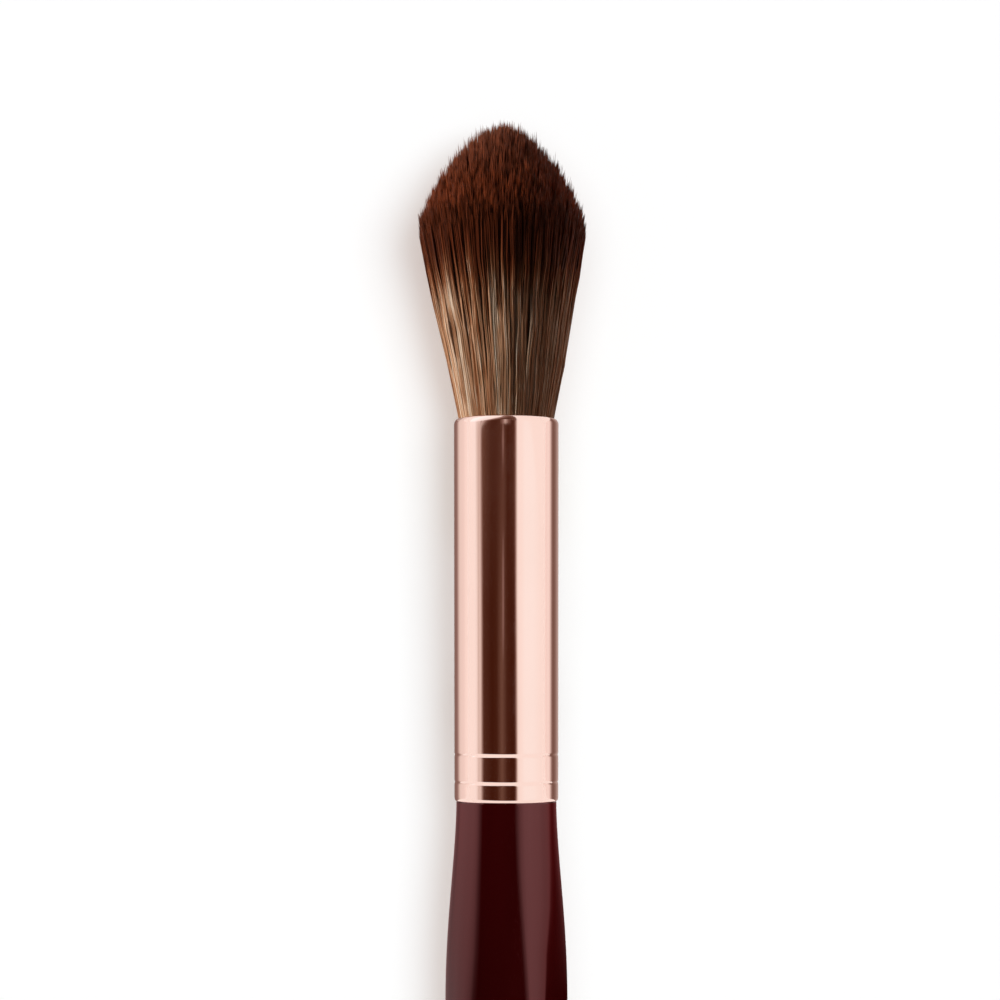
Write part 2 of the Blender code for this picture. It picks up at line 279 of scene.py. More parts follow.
def quarter(centre, half_width, half_height, start, end):
    """Points of an ellipse's arc, as (radius, height), with 0 degrees pointing outwards and 90 up."""
    points = []
    for step in range(ARC_STEPS + 1):
        turn = math.radians(start + (end - start) * step / ARC_STEPS)
        outwards = centre[0] + half_width * math.cos(turn)
        upwards = centre[1] + half_height * math.sin(turn)
        points.append((outwards, upwards))
    return points


def rolled_grooves(radius, ferrule):
    """Where a wall of this radius runs through the rolled grooves, with straight wall held on both sides."""
    points = []
    for height in (ferrule.lower_groove, ferrule.upper_groove):
        middle = FERRULE_FOOT + height
        points.append((radius, middle - ferrule.groove_width / 2 - HOLD))
        for step in range(GROOVE_STEPS + 1):
            part = step / GROOVE_STEPS
            rolled_in = ferrule.groove_depth * (1 - math.cos(math.pi / 2 * (1 - abs(2 * part - 1))))
            points.append((radius - rolled_in, middle + ferrule.groove_width * (part - 0.5)))
        points.append((radius, middle + ferrule.groove_width / 2 + HOLD))
    return points


def coned(outline, cone):
    """The tube's outside, a little wider towards its mouth."""
    return [(radius + cone * (0.5 - height / FERRULE_FOOT), height) for radius, height in outline]


def ferrule_profile(ferrule):
    """The tube's wall as one closed outline: up the outside, round the turned-in lip and down the bore."""
    bore = FERRULE_RADIUS - ferrule.wall
    lip = (FERRULE_RADIUS - ferrule.lip_turn_in, -ferrule.lip_height)
    foot = (FERRULE_RADIUS - ferrule.foot_turn_in, FERRULE_FOOT + ferrule.foot_height)
    outline = quarter(foot, ferrule.foot_turn_in, ferrule.foot_height, -90, 0)
    outline.append((FERRULE_RADIUS, foot[1] + HOLD))
    outline += rolled_grooves(FERRULE_RADIUS, ferrule)
    outline.append((FERRULE_RADIUS, lip[1] - HOLD))
    outline += quarter(lip, ferrule.lip_turn_in, ferrule.lip_height, 0, 90)
    outline = coned(outline, ferrule.cone)
    outline += quarter(lip, ferrule.lip_turn_in - ferrule.wall, ferrule.lip_height - ferrule.wall, 90, 0)
    outline += rolled_grooves(bore, ferrule)[::-1]
    outline.append((bore, FERRULE_FOOT))
    return outline


def body_outline(handle):
    """The handle's visible body, from its neck through the bulge to where the butt starts to round off."""
    neck = FERRULE_RADIUS - handle.neck_step_in
    shoulder = FERRULE_FOOT - handle.fit
    bulge = FERRULE_FOOT - handle.bulge_distance
    outline = [(neck, shoulder)]
    for step in range(1, NECK_STEPS + 1):
        part = step / NECK_STEPS
        radius = neck + (BULGE_RADIUS - neck) * ease(part**handle.neck_rise)
        outline.append((radius, shoulder + (bulge - shoulder) * part))
    tail_end = BUTT_END + handle.butt_round
    for step in range(1, TAIL_STEPS):
        part = step / TAIL_STEPS
        drawn = ease(handle.tail_draw * part) / ease(handle.tail_draw)
        radius = BULGE_RADIUS + (handle.butt_radius - BULGE_RADIUS) * drawn
        outline.append((radius, bulge + (tail_end - bulge) * part))
    return outline


def handle_profile(handle, ferrule):
    """From the tenon's end face, past its glue grooves and the rolled grooves, down to the butt's land."""
    tenon = FERRULE_RADIUS - ferrule.wall - handle.fit
    groove = tenon - handle.glue_groove_depth
    outline = [(tenon - handle.tenon_chamfer, TENON_TOP), (tenon, TENON_TOP - handle.tenon_chamfer)]
    for ring in ("glue_ring_2", "glue_ring_1"):
        foot, top, _ = reach(ring)
        top += handle.fit - MOUTH_FROM_BUTT
        foot -= handle.fit + MOUTH_FROM_BUTT
        outline += [(tenon, top), (groove, top), (groove, foot), (tenon, foot)]
    outline += rolled_grooves(tenon, ferrule)[::-1]
    outline.append((tenon, FERRULE_FOOT - handle.fit))
    outline += body_outline(handle)
    butt_centre = (handle.butt_land, BUTT_END + handle.butt_round)
    outline += quarter(butt_centre, handle.butt_radius - handle.butt_land, handle.butt_round, 0, -90)
    return outline


def turned(profile, closed):
    """A profile turned about the axis. A closed one makes a ring, and an open one gets flat ends."""
    bm = bmesh.new()
    corners = [bm.verts.new((radius, 0, height)) for radius, height in profile]
    pairs = list(zip(corners, corners[1:]))
    if closed:
        pairs.append((corners[-1], corners[0]))
    edges = [bm.edges.new(pair) for pair in pairs]
    bmesh.ops.spin(
        bm,
        geom=corners + edges,
        axis=(0, 0, 1),
        cent=(0, 0, 0),
        angle=2 * math.pi,
        steps=SIDES,
        use_merge=True,
    )
    bmesh.ops.remove_doubles(bm, verts=bm.verts, dist=MERGE_DISTANCE)
    ends = [edge for edge in bm.edges if edge.is_boundary]
    if ends:
        bmesh.ops.holes_fill(bm, edges=ends)
    bmesh.ops.recalc_face_normals(bm, faces=bm.faces)
    bmesh.ops.transform(bm, matrix=LAID_DOWN, verts=bm.verts)
    return bm


def add_object(name, mesh, material):
    """Puts a mesh in the scene under this name, with its one material."""
    mesh.materials.clear()
    mesh.materials.append(material)
    made = bpy.data.objects.new(name, mesh)
    bpy.context.scene.collection.objects.link(made)
    return made


def add_turned(name, profile, closed, material):
    """A turned piece, smooth over its round faces."""
    bm = turned(profile, closed)
    mesh = bpy.data.meshes.new(name)
    bm.to_mesh(mesh)
    bm.free()
    mesh.shade_smooth()
    mesh.set_sharp_from_angle(angle=SHARP_ANGLE)
    return add_object(name, mesh, material)


# Hair

BRISTLE_SIDES = 3
RING_PARTS = (0.15, 0.32, 0.5, 0.68, 0.85)
ROOT_JITTER = 1.0
CENTRE_JITTER = 1.2
STRAY_SHARE = 0.045
STRAY_REACH = 4.0
TUFT_STRAY = 0.8
HIGHEST_STRAY = 2.0
TUFT_WAVE = 0.6
WAVE_AT_ROOT = 0.4
SWAY_POWER = 1.5
HALVINGS = 30
THICKNESS_RANGE = (0.8, 1.2)
TAPER_RING = 0.35
TAPER_WIDTH = 0.62
GOLDEN_TURN = math.pi * (3 - math.sqrt(5))
TONES = 16
PATCHES = 8
COLUMNS = TONES * PATCHES
TONE_SPREAD = (1.1, 1.5)
CLUMP_TONE = 0.36
TUFT_TONE = 0.40
OWN_TONE = 0.24
AROUND_SPREAD = 0.5
AROUND_MIDDLE = 0.4
PATCH_STEP = 3.7
PATCHES_ALONG = 10.0
PATCH_CONTRAST = 0.22
DYE_LIGHTENS_OVER = 0.0035
# Painted light: where and how strongly the top of the dome is lightened, standing in for light from above.
TOP_LIGHT_BELOW_TIP = 0.0085
TOP_LIGHT_SHARE = 0.55
STAIN_LEAD = 2.0


def bristle(rings):
    """One bristle as rings a unit apart under a point, closed at its foot, with a UV round it and up it."""
    bm = bmesh.new()
    uv = bm.loops.layers.uv.new(BAKED_UV)
    bmesh.ops.create_circle(bm, cap_ends=True, segments=BRISTLE_SIDES, radius=1)
    rim = bm.edges[:]
    for ring in range(1, rings + 1):
        grown = bmesh.ops.extrude_edge_only(bm, edges=rim)["geom"]
        corners = [item for item in grown if isinstance(item, bmesh.types.BMVert)]
        rim = [item for item in grown if isinstance(item, bmesh.types.BMEdge)]
        bmesh.ops.translate(bm, verts=corners, vec=(0, 0, 1))
        if ring == rings:
            bmesh.ops.pointmerge(bm, verts=corners, merge_co=(0, 0, rings))
    bmesh.ops.recalc_face_normals(bm, faces=bm.faces)
    for face in bm.faces:
        for loop in face.loops:
            turn = math.atan2(loop.vert.co.y, loop.vert.co.x) / (2 * math.pi)
            loop[uv].uv = (turn % 1, loop.vert.co.z / rings)
    mesh = bpy.data.meshes.new("bristle")
    bm.to_mesh(mesh)
    bm.free()
    return mesh


def repeated(mesh, count):
    """This many copies of a mesh in one mesh, all in the same place, one after the other."""
    source = bpy.data.objects.new("bristle_source", mesh)
    bpy.context.scene.collection.objects.link(source)
    copies = source.modifiers.new("copies", "ARRAY")
    copies.count = count
    copies.use_relative_offset = False
    evaluated = source.evaluated_get(bpy.context.evaluated_depsgraph_get())
    made = bpy.data.meshes.new_from_object(evaluated)
    bpy.data.objects.remove(source)
    return made


class Bundle:
    """Where the bundle's outline runs at each height above the mouth."""

    def __init__(self, hair, ferrule):
        self.hair = hair
        mouth = FERRULE_RADIUS + ferrule.cone / 2 - ferrule.lip_turn_in
        self.radius = mouth - hair.clearance - hair.thickness / 2

    def fan(self, height):
        """How wide the outermost bristles stand."""
        return self.radius + self.hair.flare * np.maximum(height, 0)

    def dome(self, height):
        """The cut outline: the belly's width below the dome, and a rounded point above it."""
        below_tip = np.clip((self.hair.height - height) / self.hair.dome_height, 0, 1)
        power = 1 / self.hair.dome_roundness
        return self.hair.belly_radius * (1 - (1 - below_tip) ** self.hair.dome_fullness) ** power

    def tip(self, place):
        """Where bristles end whose roots stand at these shares of the bundle's radius."""
        low = np.zeros_like(place)
        high = np.full_like(place, self.hair.height)
        for _ in range(HALVINGS):
            middle = (low + high) / 2
            inside = self.dome(middle) > place * self.fan(middle)
            low = np.where(inside, middle, low)
            high = np.where(inside, high, middle)
        return low


def scattered(count, chance, jitter):
    """Points spread evenly over the unit disc, each a little out of its place."""
    number = np.arange(count)
    radius = np.sqrt((number + 0.5) / count)
    turn = number * GOLDEN_TURN
    places = np.stack([radius * np.cos(turn), radius * np.sin(turn)], axis=1)
    places += chance.uniform(-jitter, jitter, (count, 2)) / math.sqrt(count)
    reach_out = np.linalg.norm(places, axis=1, keepdims=True)
    return places / np.maximum(reach_out, 1)


def nearest(places, centres):
    """The number of the centre that lies nearest to each place."""
    tree = KDTree(len(centres))
    for number, (across, down) in enumerate(centres):
        tree.insert((across, down, 0), number)
    tree.balance()
    return np.array([tree.find((across, down, 0))[1] for across, down in places])


class Gathering:
    """Where each bristle's root stands in the bundle, its tuft and clump, and how far they draw its tip."""

    def __init__(self, hair, chance):
        self.roots = scattered(hair.count, chance, ROOT_JITTER)
        tufts = scattered(hair.tufts, chance, CENTRE_JITTER)
        clumps = scattered(hair.clumps, chance, CENTRE_JITTER)
        self.tuft = nearest(self.roots, tufts)
        self.clump = nearest(tufts, clumps)[self.tuft]
        to_tuft = tufts[self.tuft] - self.roots
        to_clump = clumps[self.clump] - tufts[self.tuft]
        self.pull = hair.gather * to_tuft + hair.clump_gather * to_clump


def tip_heights(hair, bundle, gathering, chance):
    """How high each bristle ends: cut to the dome, a little unevenly, with some strays left longer."""
    tuft_length = chance.normal(0, TUFT_STRAY * hair.stray, hair.tufts)[gathering.tuft]
    bristle_length = chance.normal(0, hair.stray, hair.count)
    strays = chance.uniform(0, 1, hair.count) < STRAY_SHARE
    bristle_length += np.where(strays, chance.uniform(0, STRAY_REACH * hair.stray, hair.count), 0)
    shares = np.minimum(np.linalg.norm(gathering.roots + gathering.pull, axis=1), 1)
    tips = bundle.tip(shares) + tuft_length + bristle_length
    return np.minimum(tips, hair.height + HIGHEST_STRAY * hair.stray)


def ring_heights(hair, tips):
    """How high each bristle's rings lie: in the epoxy, at the mouth, up its length and on its tip."""
    shoulder = tips - hair.taper
    rings = [np.full(hair.count, -hair.slice), np.zeros(hair.count)]
    rings += [shoulder * part for part in RING_PARTS]
    rings += [shoulder, tips - hair.taper * TAPER_RING, tips]
    return np.stack(rings, axis=1)


def bristle_lines(hair, bundle, gathering, chance):
    """The middle of each bristle at each of its rings."""
    tuft, clump = gathering.tuft, gathering.clump
    swell = chance.normal(0, hair.tuft_swell, hair.tufts)[tuft]
    swell += chance.normal(0, hair.clump_swell, hair.clumps)[clump]
    heights = ring_heights(hair, tip_heights(hair, bundle, gathering, chance))
    sway = chance.normal(0, hair.sway, (hair.count, 2))

    up = np.clip(heights / hair.height, 0, 1)
    opened = 1 - (1 - up) ** 2
    width = bundle.fan(heights) * (1 + swell[:, None] * opened)
    sideways = gathering.roots[:, None, :] + opened[:, :, None] * gathering.pull[:, None, :]
    sideways = sideways * width[:, :, None]
    sideways = sideways + sway[:, None, :] * (up**SWAY_POWER)[:, :, None]

    waved = slice(2, 2 + len(RING_PARTS))
    wave = chance.normal(0, hair.wave, (hair.clumps, len(RING_PARTS), 2))[clump]
    wave += chance.normal(0, TUFT_WAVE * hair.wave, (hair.tufts, len(RING_PARTS), 2))[tuft]
    sideways[:, waved] += wave * between(WAVE_AT_ROOT, 1, up[:, waved, None])
    belly = hair.height - hair.dome_height
    sideways[:, :, 0] += hair.lean * ease(np.clip(heights / belly, 0, 1))
    return np.concatenate([sideways, heights[:, :, None]], axis=2)


def pressed(lines, bundle):
    """Flattens the belly where the table presses it, with the hair above it closing up."""
    across, down, height = lines[..., 0], lines[..., 1], lines[..., 2]
    outline = np.minimum(bundle.fan(height), bundle.dome(height))
    half_chord = np.sqrt(np.maximum(outline**2 - across**2, 0))
    room = (MOUTH.z + height * ALONG.z) / -DOWN.z - bundle.hair.thickness / 2
    closed_up = np.minimum(down * room / np.maximum(half_chord, MERGE_DISTANCE), room)
    lines[..., 1] = np.where((down > 0) & (half_chord > room), closed_up, np.minimum(down, room))
    return lines


def bristle_columns(hair, gathering, chance):
    """Each bristle's column in the UV map, which says how light it is and where its light patches lie.
    Bristles of one tuft are much alike, and so are the tufts of one clump."""
    tone = CLUMP_TONE * chance.beta(*TONE_SPREAD, hair.clumps)[gathering.clump]
    tone += TUFT_TONE * chance.beta(*TONE_SPREAD, hair.tufts)[gathering.tuft]
    tone += OWN_TONE * chance.uniform(0, 1, hair.count)
    patch = chance.integers(0, PATCHES, hair.tufts)[gathering.tuft]
    return np.minimum((tone * TONES).astype(int), TONES - 1) * PATCHES + patch


def uv_length(hair):
    """The length that the UV map's V stands for: from the bristles' foot to just above their tips."""
    return hair.height + hair.slice + hair.stray


def uv_level(hair, height):
    """Where a height above the mouth lies in the UV map."""
    return (height + hair.slice) / uv_length(hair)


def shape_bristles(mesh, source, lines, column, hair, chance):
    """Moves each copy of the bristle onto its line, and gives it its column of the UV map."""
    count = len(lines)
    model = np.array([vertex.co for vertex in source.vertices])
    ring = np.rint(model[:, 2]).astype(int)
    last = ring.max()
    width = np.ones(last + 1)
    width[last - 1] = TAPER_WIDTH
    width[last] = 0
    half = hair.thickness / 2 * chance.uniform(*THICKNESS_RANGE, count)
    turn = chance.uniform(0, 2 * math.pi, count)

    reach_out = half[:, None] * width[ring][None, :]
    across = model[None, :, 0] * np.cos(turn)[:, None] - model[None, :, 1] * np.sin(turn)[:, None]
    down = model[None, :, 0] * np.sin(turn)[:, None] + model[None, :, 1] * np.cos(turn)[:, None]
    places = lines[:, ring, :]
    places[:, :, 0] += across * reach_out
    places[:, :, 1] += down * reach_out

    laid = np.array(LAID_DOWN.to_3x3())
    world = places @ laid.T + np.array(LAID_DOWN.translation)
    world[:, :, 2] = np.maximum(world[:, :, 2], 0)
    mesh.vertices.foreach_set("co", world.astype(np.float32).ravel())

    corner = np.empty(len(mesh.loops), dtype=np.int32)
    mesh.loops.foreach_get("vertex_index", corner)
    uv = np.empty(len(mesh.loops) * 2, dtype=np.float32)
    layer = mesh.uv_layers[BAKED_UV]
    layer.uv.foreach_get("vector", uv)
    uv = uv.reshape(count, -1, 2)
    uv[:, :, 0] = (column[:, None] + 0.5 + AROUND_SPREAD * (uv[:, :, 0] - AROUND_MIDDLE)) / COLUMNS
    uv[:, :, 1] = uv_level(hair, places[:, :, 2]).ravel()[corner].reshape(count, -1)
    layer.uv.foreach_set("vector", uv.ravel())
    mesh.update()


# Shader nodes

WHITE = (1.0, 1.0, 1.0)
BLACK = (0.0, 0.0, 0.0)


def add_node(tree, kind, inputs=(), **options):
    """Adds a shader node. An input that is given as a socket is linked, and any other is set."""
    made = tree.nodes.new(kind)
    for name, value in options.items():
        setattr(made, name, value)
    for name, value in dict(inputs).items():
        if isinstance(value, bpy.types.NodeSocket):
            tree.links.new(value, made.inputs[name])
        else:
            made.inputs[name].default_value = value
    return made


def add_math(tree, operation, first, second=0.0, held=False):
    """What a sum on one or two values gives. A held result stays between 0 and 1."""
    made = add_node(tree, "ShaderNodeMath", {0: first, 1: second}, operation=operation, use_clamp=held)
    return made.outputs["Value"]


def add_range(tree, value, low=0.0, high=1.0, start=0.0, end=1.0, kind="LINEAR"):
    """A value that runs from start to end while another runs from low to high."""
    inputs = {"Value": value, "From Min": low, "From Max": high, "To Min": start, "To Max": end}
    made = add_node(tree, "ShaderNodeMapRange", inputs, interpolation_type=kind)
    return made.outputs["Result"]


def add_noise(tree, place, scale, detail, roughness=0.5, distortion=0.0, dimensions="3D"):
    """A cloudy mask."""
    inputs = {"Vector": place, "Scale": scale, "Detail": detail}
    inputs |= {"Roughness": roughness, "Distortion": distortion}
    made = add_node(tree, "ShaderNodeTexNoise", inputs, noise_dimensions=dimensions)
    return made.outputs["Fac"]


def add_relief(tree, shader, height, strength, distance):
    """Gives a material's surface a fine relief."""
    inputs = {"Height": height, "Strength": strength, "Distance": distance}
    bump = add_node(tree, "ShaderNodeBump", inputs)
    tree.links.new(bump.outputs["Normal"], shader.inputs["Normal"])


def opaque(tint):
    """A colour with full alpha."""
    return (*tint, 1)


def deepened(tint, shares):
    """A colour with each of its parts taken down to its share."""
    return [kept * part for kept, part in zip(shares, tint)]


def mixed_colour(tree, factor, first, second, blend="MIX"):
    """A blend of two colours, each given as a colour or a socket."""
    mix = add_node(tree, "ShaderNodeMix", data_type="RGBA", blend_type=blend)
    for name, value in (("Factor", factor), ("A", first), ("B", second)):
        if isinstance(value, bpy.types.NodeSocket):
            tree.links.new(value, mix.inputs[name])
        else:
            mix.inputs[name].default_value = opaque(value) if name != "Factor" else value
    return mix.outputs["Result"]


def colour_ramp(tree, share_of_way, stops):
    """A ramp through these colours, each at its share of the way."""
    ramp = add_node(tree, "ShaderNodeValToRGB", {"Fac": share_of_way})
    while len(ramp.color_ramp.elements) < len(stops):
        ramp.color_ramp.elements.new(0.5)
    for element, (position, tint) in zip(ramp.color_ramp.elements, stops):
        element.position = position
        element.color = opaque(tint)
    return ramp.outputs["Color"]


def uv_parts(tree, name):
    """The two coordinates of a UV map."""
    uv = add_node(tree, "ShaderNodeUVMap", uv_map=name)
    parts = add_node(tree, "ShaderNodeSeparateXYZ", {"Vector": uv.outputs["UV"]})
    return parts.outputs["X"], parts.outputs["Y"]


def brush_coordinates(tree):
    """Object coordinates turned so that Z runs along the brush, with zero at the ferrule's mouth."""
    place = add_node(tree, "ShaderNodeTexCoord")
    turned_back = LAID_DOWN.inverted()
    inputs = {
        "Vector": place.outputs["Object"],
        "Location": turned_back.translation,
        "Rotation": turned_back.to_euler(),
    }
    return add_node(tree, "ShaderNodeMapping", inputs).outputs["Vector"]


def drawn_along(tree, place, squeeze):
    """Coordinates squeezed along the brush, which draw a pattern out into lines."""
    made = add_node(tree, "ShaderNodeMapping", {"Vector": place, "Scale": (1.0, 1.0, squeeze)})
    return made.outputs["Vector"]


def new_material(name, inputs):
    """A material with its Principled shader's plain inputs set, and its node tree and shader."""
    material = bpy.data.materials.new(name)
    material.use_nodes = True
    tree = material.node_tree
    shader = tree.nodes["Principled BSDF"]
    for socket, value in inputs.items():
        shader.inputs[socket].default_value = value
    return material, tree, shader


def emptied(owner):
    """The node tree of a material or a world, with nothing in it."""
    owner.use_nodes = True
    owner.node_tree.nodes.clear()
    return owner.node_tree


def effect_group(name, inputs, outputs):
    """An empty shader node group with these named float inputs, and these outputs by name and kind."""
    group = bpy.data.node_groups.new(name, "ShaderNodeTree")
    for socket, value in inputs.items():
        made = group.interface.new_socket(socket, in_out="INPUT", socket_type="NodeSocketFloat")
        made.default_value = value
    for socket, kind in outputs.items():
        group.interface.new_socket(socket, in_out="OUTPUT", socket_type=kind)
    return group, group.nodes.new("NodeGroupInput"), group.nodes.new("NodeGroupOutput")


# Materials

PLATE_CLOUDS = (0.965, 0.95, 0.94)
LACQUER_GRAIN = (0.72, 0.7, 0.7)
PLATE_DULLS_BY = 0.06
LACQUER_DULLS_BY = 0.07
RESIN_DULLS_BY = 0.25


def handling_group():
    """Where hands have dulled a polished surface: soft smudges and fine lines rubbed along the brush."""
    group, given, result = effect_group(
        "handling_marks",
        {"Clean": 0.06, "Smudged": 0.14, "Smudge Scale": 160.0},
        {"Roughness": "NodeSocketFloat", "Height": "NodeSocketFloat"},
    )
    place = brush_coordinates(group)
    smudges = add_noise(group, place, scale=given.outputs["Smudge Scale"], detail=4.0, roughness=0.6)
    lines = add_noise(group, drawn_along(group, place, squeeze=0.012), scale=9000.0, detail=2.0)
    rubbed = add_range(group, lines, low=0.56, high=0.75, end=0.35)
    smudged = add_range(group, smudges, low=0.42, high=0.78)
    dulled = add_math(group, "ADD", smudged, rubbed, held=True)
    roughness = add_range(group, dulled, start=given.outputs["Clean"], end=given.outputs["Smudged"])
    group.links.new(roughness, result.inputs["Roughness"])
    group.links.new(lines, result.inputs["Height"])
    return group


def add_handling(tree, shader, group, clean, smudged, scale):
    """Marks a material where hands have dulled it, and returns the height of its rubbed lines."""
    inputs = {"Clean": clean, "Smudged": smudged, "Smudge Scale": scale}
    marks = add_node(tree, "ShaderNodeGroup", inputs, node_tree=group)
    tree.links.new(marks.outputs["Roughness"], shader.inputs["Roughness"])
    return marks.outputs["Height"]


def rose_gold(ferrule, handling):
    """Polished rose gold plate: a little uneven in colour, with fine drawn lines and handling marks."""
    material, tree, shader = new_material("rose_gold_plate", {"Metallic": 1.0})
    clouds = add_noise(tree, brush_coordinates(tree), scale=120.0, detail=3.0)
    tint = mixed_colour(tree, clouds, ferrule.plate, deepened(ferrule.plate, PLATE_CLOUDS))
    tree.links.new(tint, shader.inputs["Base Color"])
    smudged = ferrule.polish + PLATE_DULLS_BY
    drawn_lines = add_handling(tree, shader, handling, ferrule.polish, smudged, scale=160.0)
    add_relief(tree, shader, drawn_lines, strength=0.05, distance=0.00001)
    return material


def burgundy_lacquer(handle, handling):
    """Deep gloss lacquer over wood: faint streaks of grain in its colour, and a slight orange peel."""
    mirrored = {"IOR": handle.refraction, "Specular Tint": opaque(handle.sheen_tint)}
    material, tree, shader = new_material("burgundy_lacquer", mirrored)
    place = brush_coordinates(tree)
    grain = add_noise(tree, drawn_along(tree, place, squeeze=0.08), scale=700.0, detail=4.0, roughness=0.55)
    tint = mixed_colour(tree, grain, handle.lacquer, deepened(handle.lacquer, LACQUER_GRAIN))
    tree.links.new(tint, shader.inputs["Base Color"])
    add_handling(tree, shader, handling, handle.gloss, handle.gloss + LACQUER_DULLS_BY, scale=90.0)
    orange_peel = add_noise(tree, place, scale=1400.0, detail=1.0)
    add_relief(tree, shader, orange_peel, strength=0.06, distance=0.00002)
    return material


def cured_resin(name, clear, cloudy, scale, roughness):
    """Epoxy or glue that cured in place: cloudy patches in its colour, and a skin that sank unevenly."""
    material, tree, shader = new_material(name, {"IOR": 1.5})
    clouds = add_noise(tree, brush_coordinates(tree), scale, detail=5.0, roughness=0.6, distortion=0.8)
    tree.links.new(mixed_colour(tree, clouds, clear, cloudy), shader.inputs["Base Color"])
    dulled = add_range(tree, clouds, start=roughness, end=roughness + RESIN_DULLS_BY)
    tree.links.new(dulled, shader.inputs["Roughness"])
    add_relief(tree, shader, clouds, strength=0.4, distance=0.0001)
    return material


def root_colour(tree, hair, number, across, up):
    """The bristles' own colour: each column of the UV map has its tone, with lighter and darker patches."""
    tone_number = add_math(tree, "FLOOR", add_math(tree, "MULTIPLY", across, float(TONES)))
    tone = add_math(tree, "DIVIDE", tone_number, float(TONES))
    apart = add_math(tree, "MULTIPLY", number, PATCH_STEP)
    along = add_math(tree, "MULTIPLY", up, PATCHES_ALONG)
    place = add_node(tree, "ShaderNodeCombineXYZ", {"X": apart, "Y": along}).outputs["Vector"]
    patches = add_noise(tree, place, scale=1.0, detail=1.0, dimensions="2D")
    change = add_range(tree, patches, low=0.3, high=0.7, start=-PATCH_CONTRAST, end=PATCH_CONTRAST)
    tints = [(0.0, hair.root_dark), (0.5, hair.root_middle), (1.0, hair.root_light)]
    return colour_ramp(tree, add_math(tree, "ADD", tone, change), tints)


def dye_share(tree, hair, own, up):
    """How strongly the bristles are dyed. The dye starts at a height of its own on each."""
    lowest = hair.dye_height - (hair.dye_blend + hair.dye_spread) / 2
    highest = lowest + hair.dye_spread
    starts = add_range(tree, own, start=uv_level(hair, lowest), end=uv_level(hair, highest))
    above_start = add_math(tree, "SUBTRACT", up, starts)
    return add_range(tree, above_start, high=hair.dye_blend / uv_length(hair), kind="SMOOTHSTEP")


def dye_colour(tree, hair, own, up):
    """The dye's colour: darkest low on the tips, lighter from dye_fades up, and lighter still towards the
    top of the dome, which is painted light standing in for light from above.
    """
    dye = mixed_colour(tree, own, hair.tip_dark, hair.tip_light)
    deep_end = uv_level(hair, hair.dye_fades)
    light_end = uv_level(hair, hair.dye_fades + DYE_LIGHTENS_OVER)
    lightness = add_range(tree, up, deep_end, light_end, start=hair.dye_deepest, kind="SMOOTHSTEP")
    dye = mixed_colour(tree, lightness, BLACK, dye)
    # Painted light: towards the top of the dome the tips are lightened, standing in for light from above.
    top_light_starts = uv_level(hair, hair.height - TOP_LIGHT_BELOW_TIP)
    top_light = add_range(tree, up, top_light_starts, uv_level(hair, hair.height), end=TOP_LIGHT_SHARE)
    return mixed_colour(tree, top_light, dye, hair.tip_top_lit)


def dyed_hair(hair):
    """Two-tone bristles. The UV map's U says how light a bristle is, and its V how high a point lies."""
    sheen = {"Roughness": 0.42, "Specular IOR Level": 0.2, "Specular Tint": opaque(hair.sheen_tint)}
    material, tree, shader = new_material("dyed_bristles", sheen)
    across, up = uv_parts(tree, BAKED_UV)
    number = add_math(tree, "FLOOR", add_math(tree, "MULTIPLY", across, float(COLUMNS)))
    own = add_node(tree, "ShaderNodeTexWhiteNoise", {"W": number}, noise_dimensions="1D")
    own_parts = add_node(tree, "ShaderNodeSeparateColor", {"Color": own.outputs["Color"]})

    dyed = dye_share(tree, hair, own_parts.outputs["Red"], up)
    soaked = add_math(tree, "MULTIPLY", dyed, STAIN_LEAD, held=True)
    stain = mixed_colour(tree, soaked, WHITE, hair.stain)
    root = mixed_colour(tree, 1.0, root_colour(tree, hair, number, across, up), stain, "MULTIPLY")
    tip = dye_colour(tree, hair, own_parts.outputs["Green"], up)
    tree.links.new(mixed_colour(tree, dyed, root, tip), shader.inputs["Base Color"])
    return material


# Table and sheets

SHEET_STEPS = 48
SHEET_UV = "across"


def bent_sheet(name, place, material):
    """A sheet of the stage. Place gives the point that lies at these shares across it and along it."""
    bm = bmesh.new()
    bmesh.ops.create_grid(bm, x_segments=SHEET_STEPS, y_segments=SHEET_STEPS, size=0.5)
    uv = bm.loops.layers.uv.new(SHEET_UV)
    for vertex in bm.verts:
        across, along = vertex.co.x + 0.5, vertex.co.y + 0.5
        for loop in vertex.link_loops:
            loop[uv].uv = (across, along)
        vertex.co = place(across, along)
    mesh = bpy.data.meshes.new(name)
    bm.to_mesh(mesh)
    bm.free()
    sheet = add_object(name, mesh, material)
    return sheet


def glow(name, stops, far_stops=None, change=(0.0, 1.0)):
    """A material that glows with these colours, each at a share of the way across. Along the sheet they may
    change to the far ones."""
    material = bpy.data.materials.new(name)
    tree = emptied(material)
    across, along = uv_parts(tree, SHEET_UV)
    colours = colour_ramp(tree, across, stops)
    if far_stops:
        far_colours = colour_ramp(tree, across, far_stops)
        colours = mixed_colour(tree, add_range(tree, along, *change), colours, far_colours)
    emission = add_node(tree, "ShaderNodeEmission", {"Color": colours})
    add_node(tree, "ShaderNodeOutputMaterial", {"Surface": emission.outputs["Emission"]})
    return material


def seen_ray(tree):
    """1 for what the camera sees, also in a polished surface or through glass, and 0 for other light."""
    path = add_node(tree, "ShaderNodeLightPath").outputs
    seen = add_math(tree, "ADD", path["Is Camera Ray"], path["Is Glossy Ray"])
    return add_math(tree, "ADD", seen, path["Is Transmission Ray"], held=True)


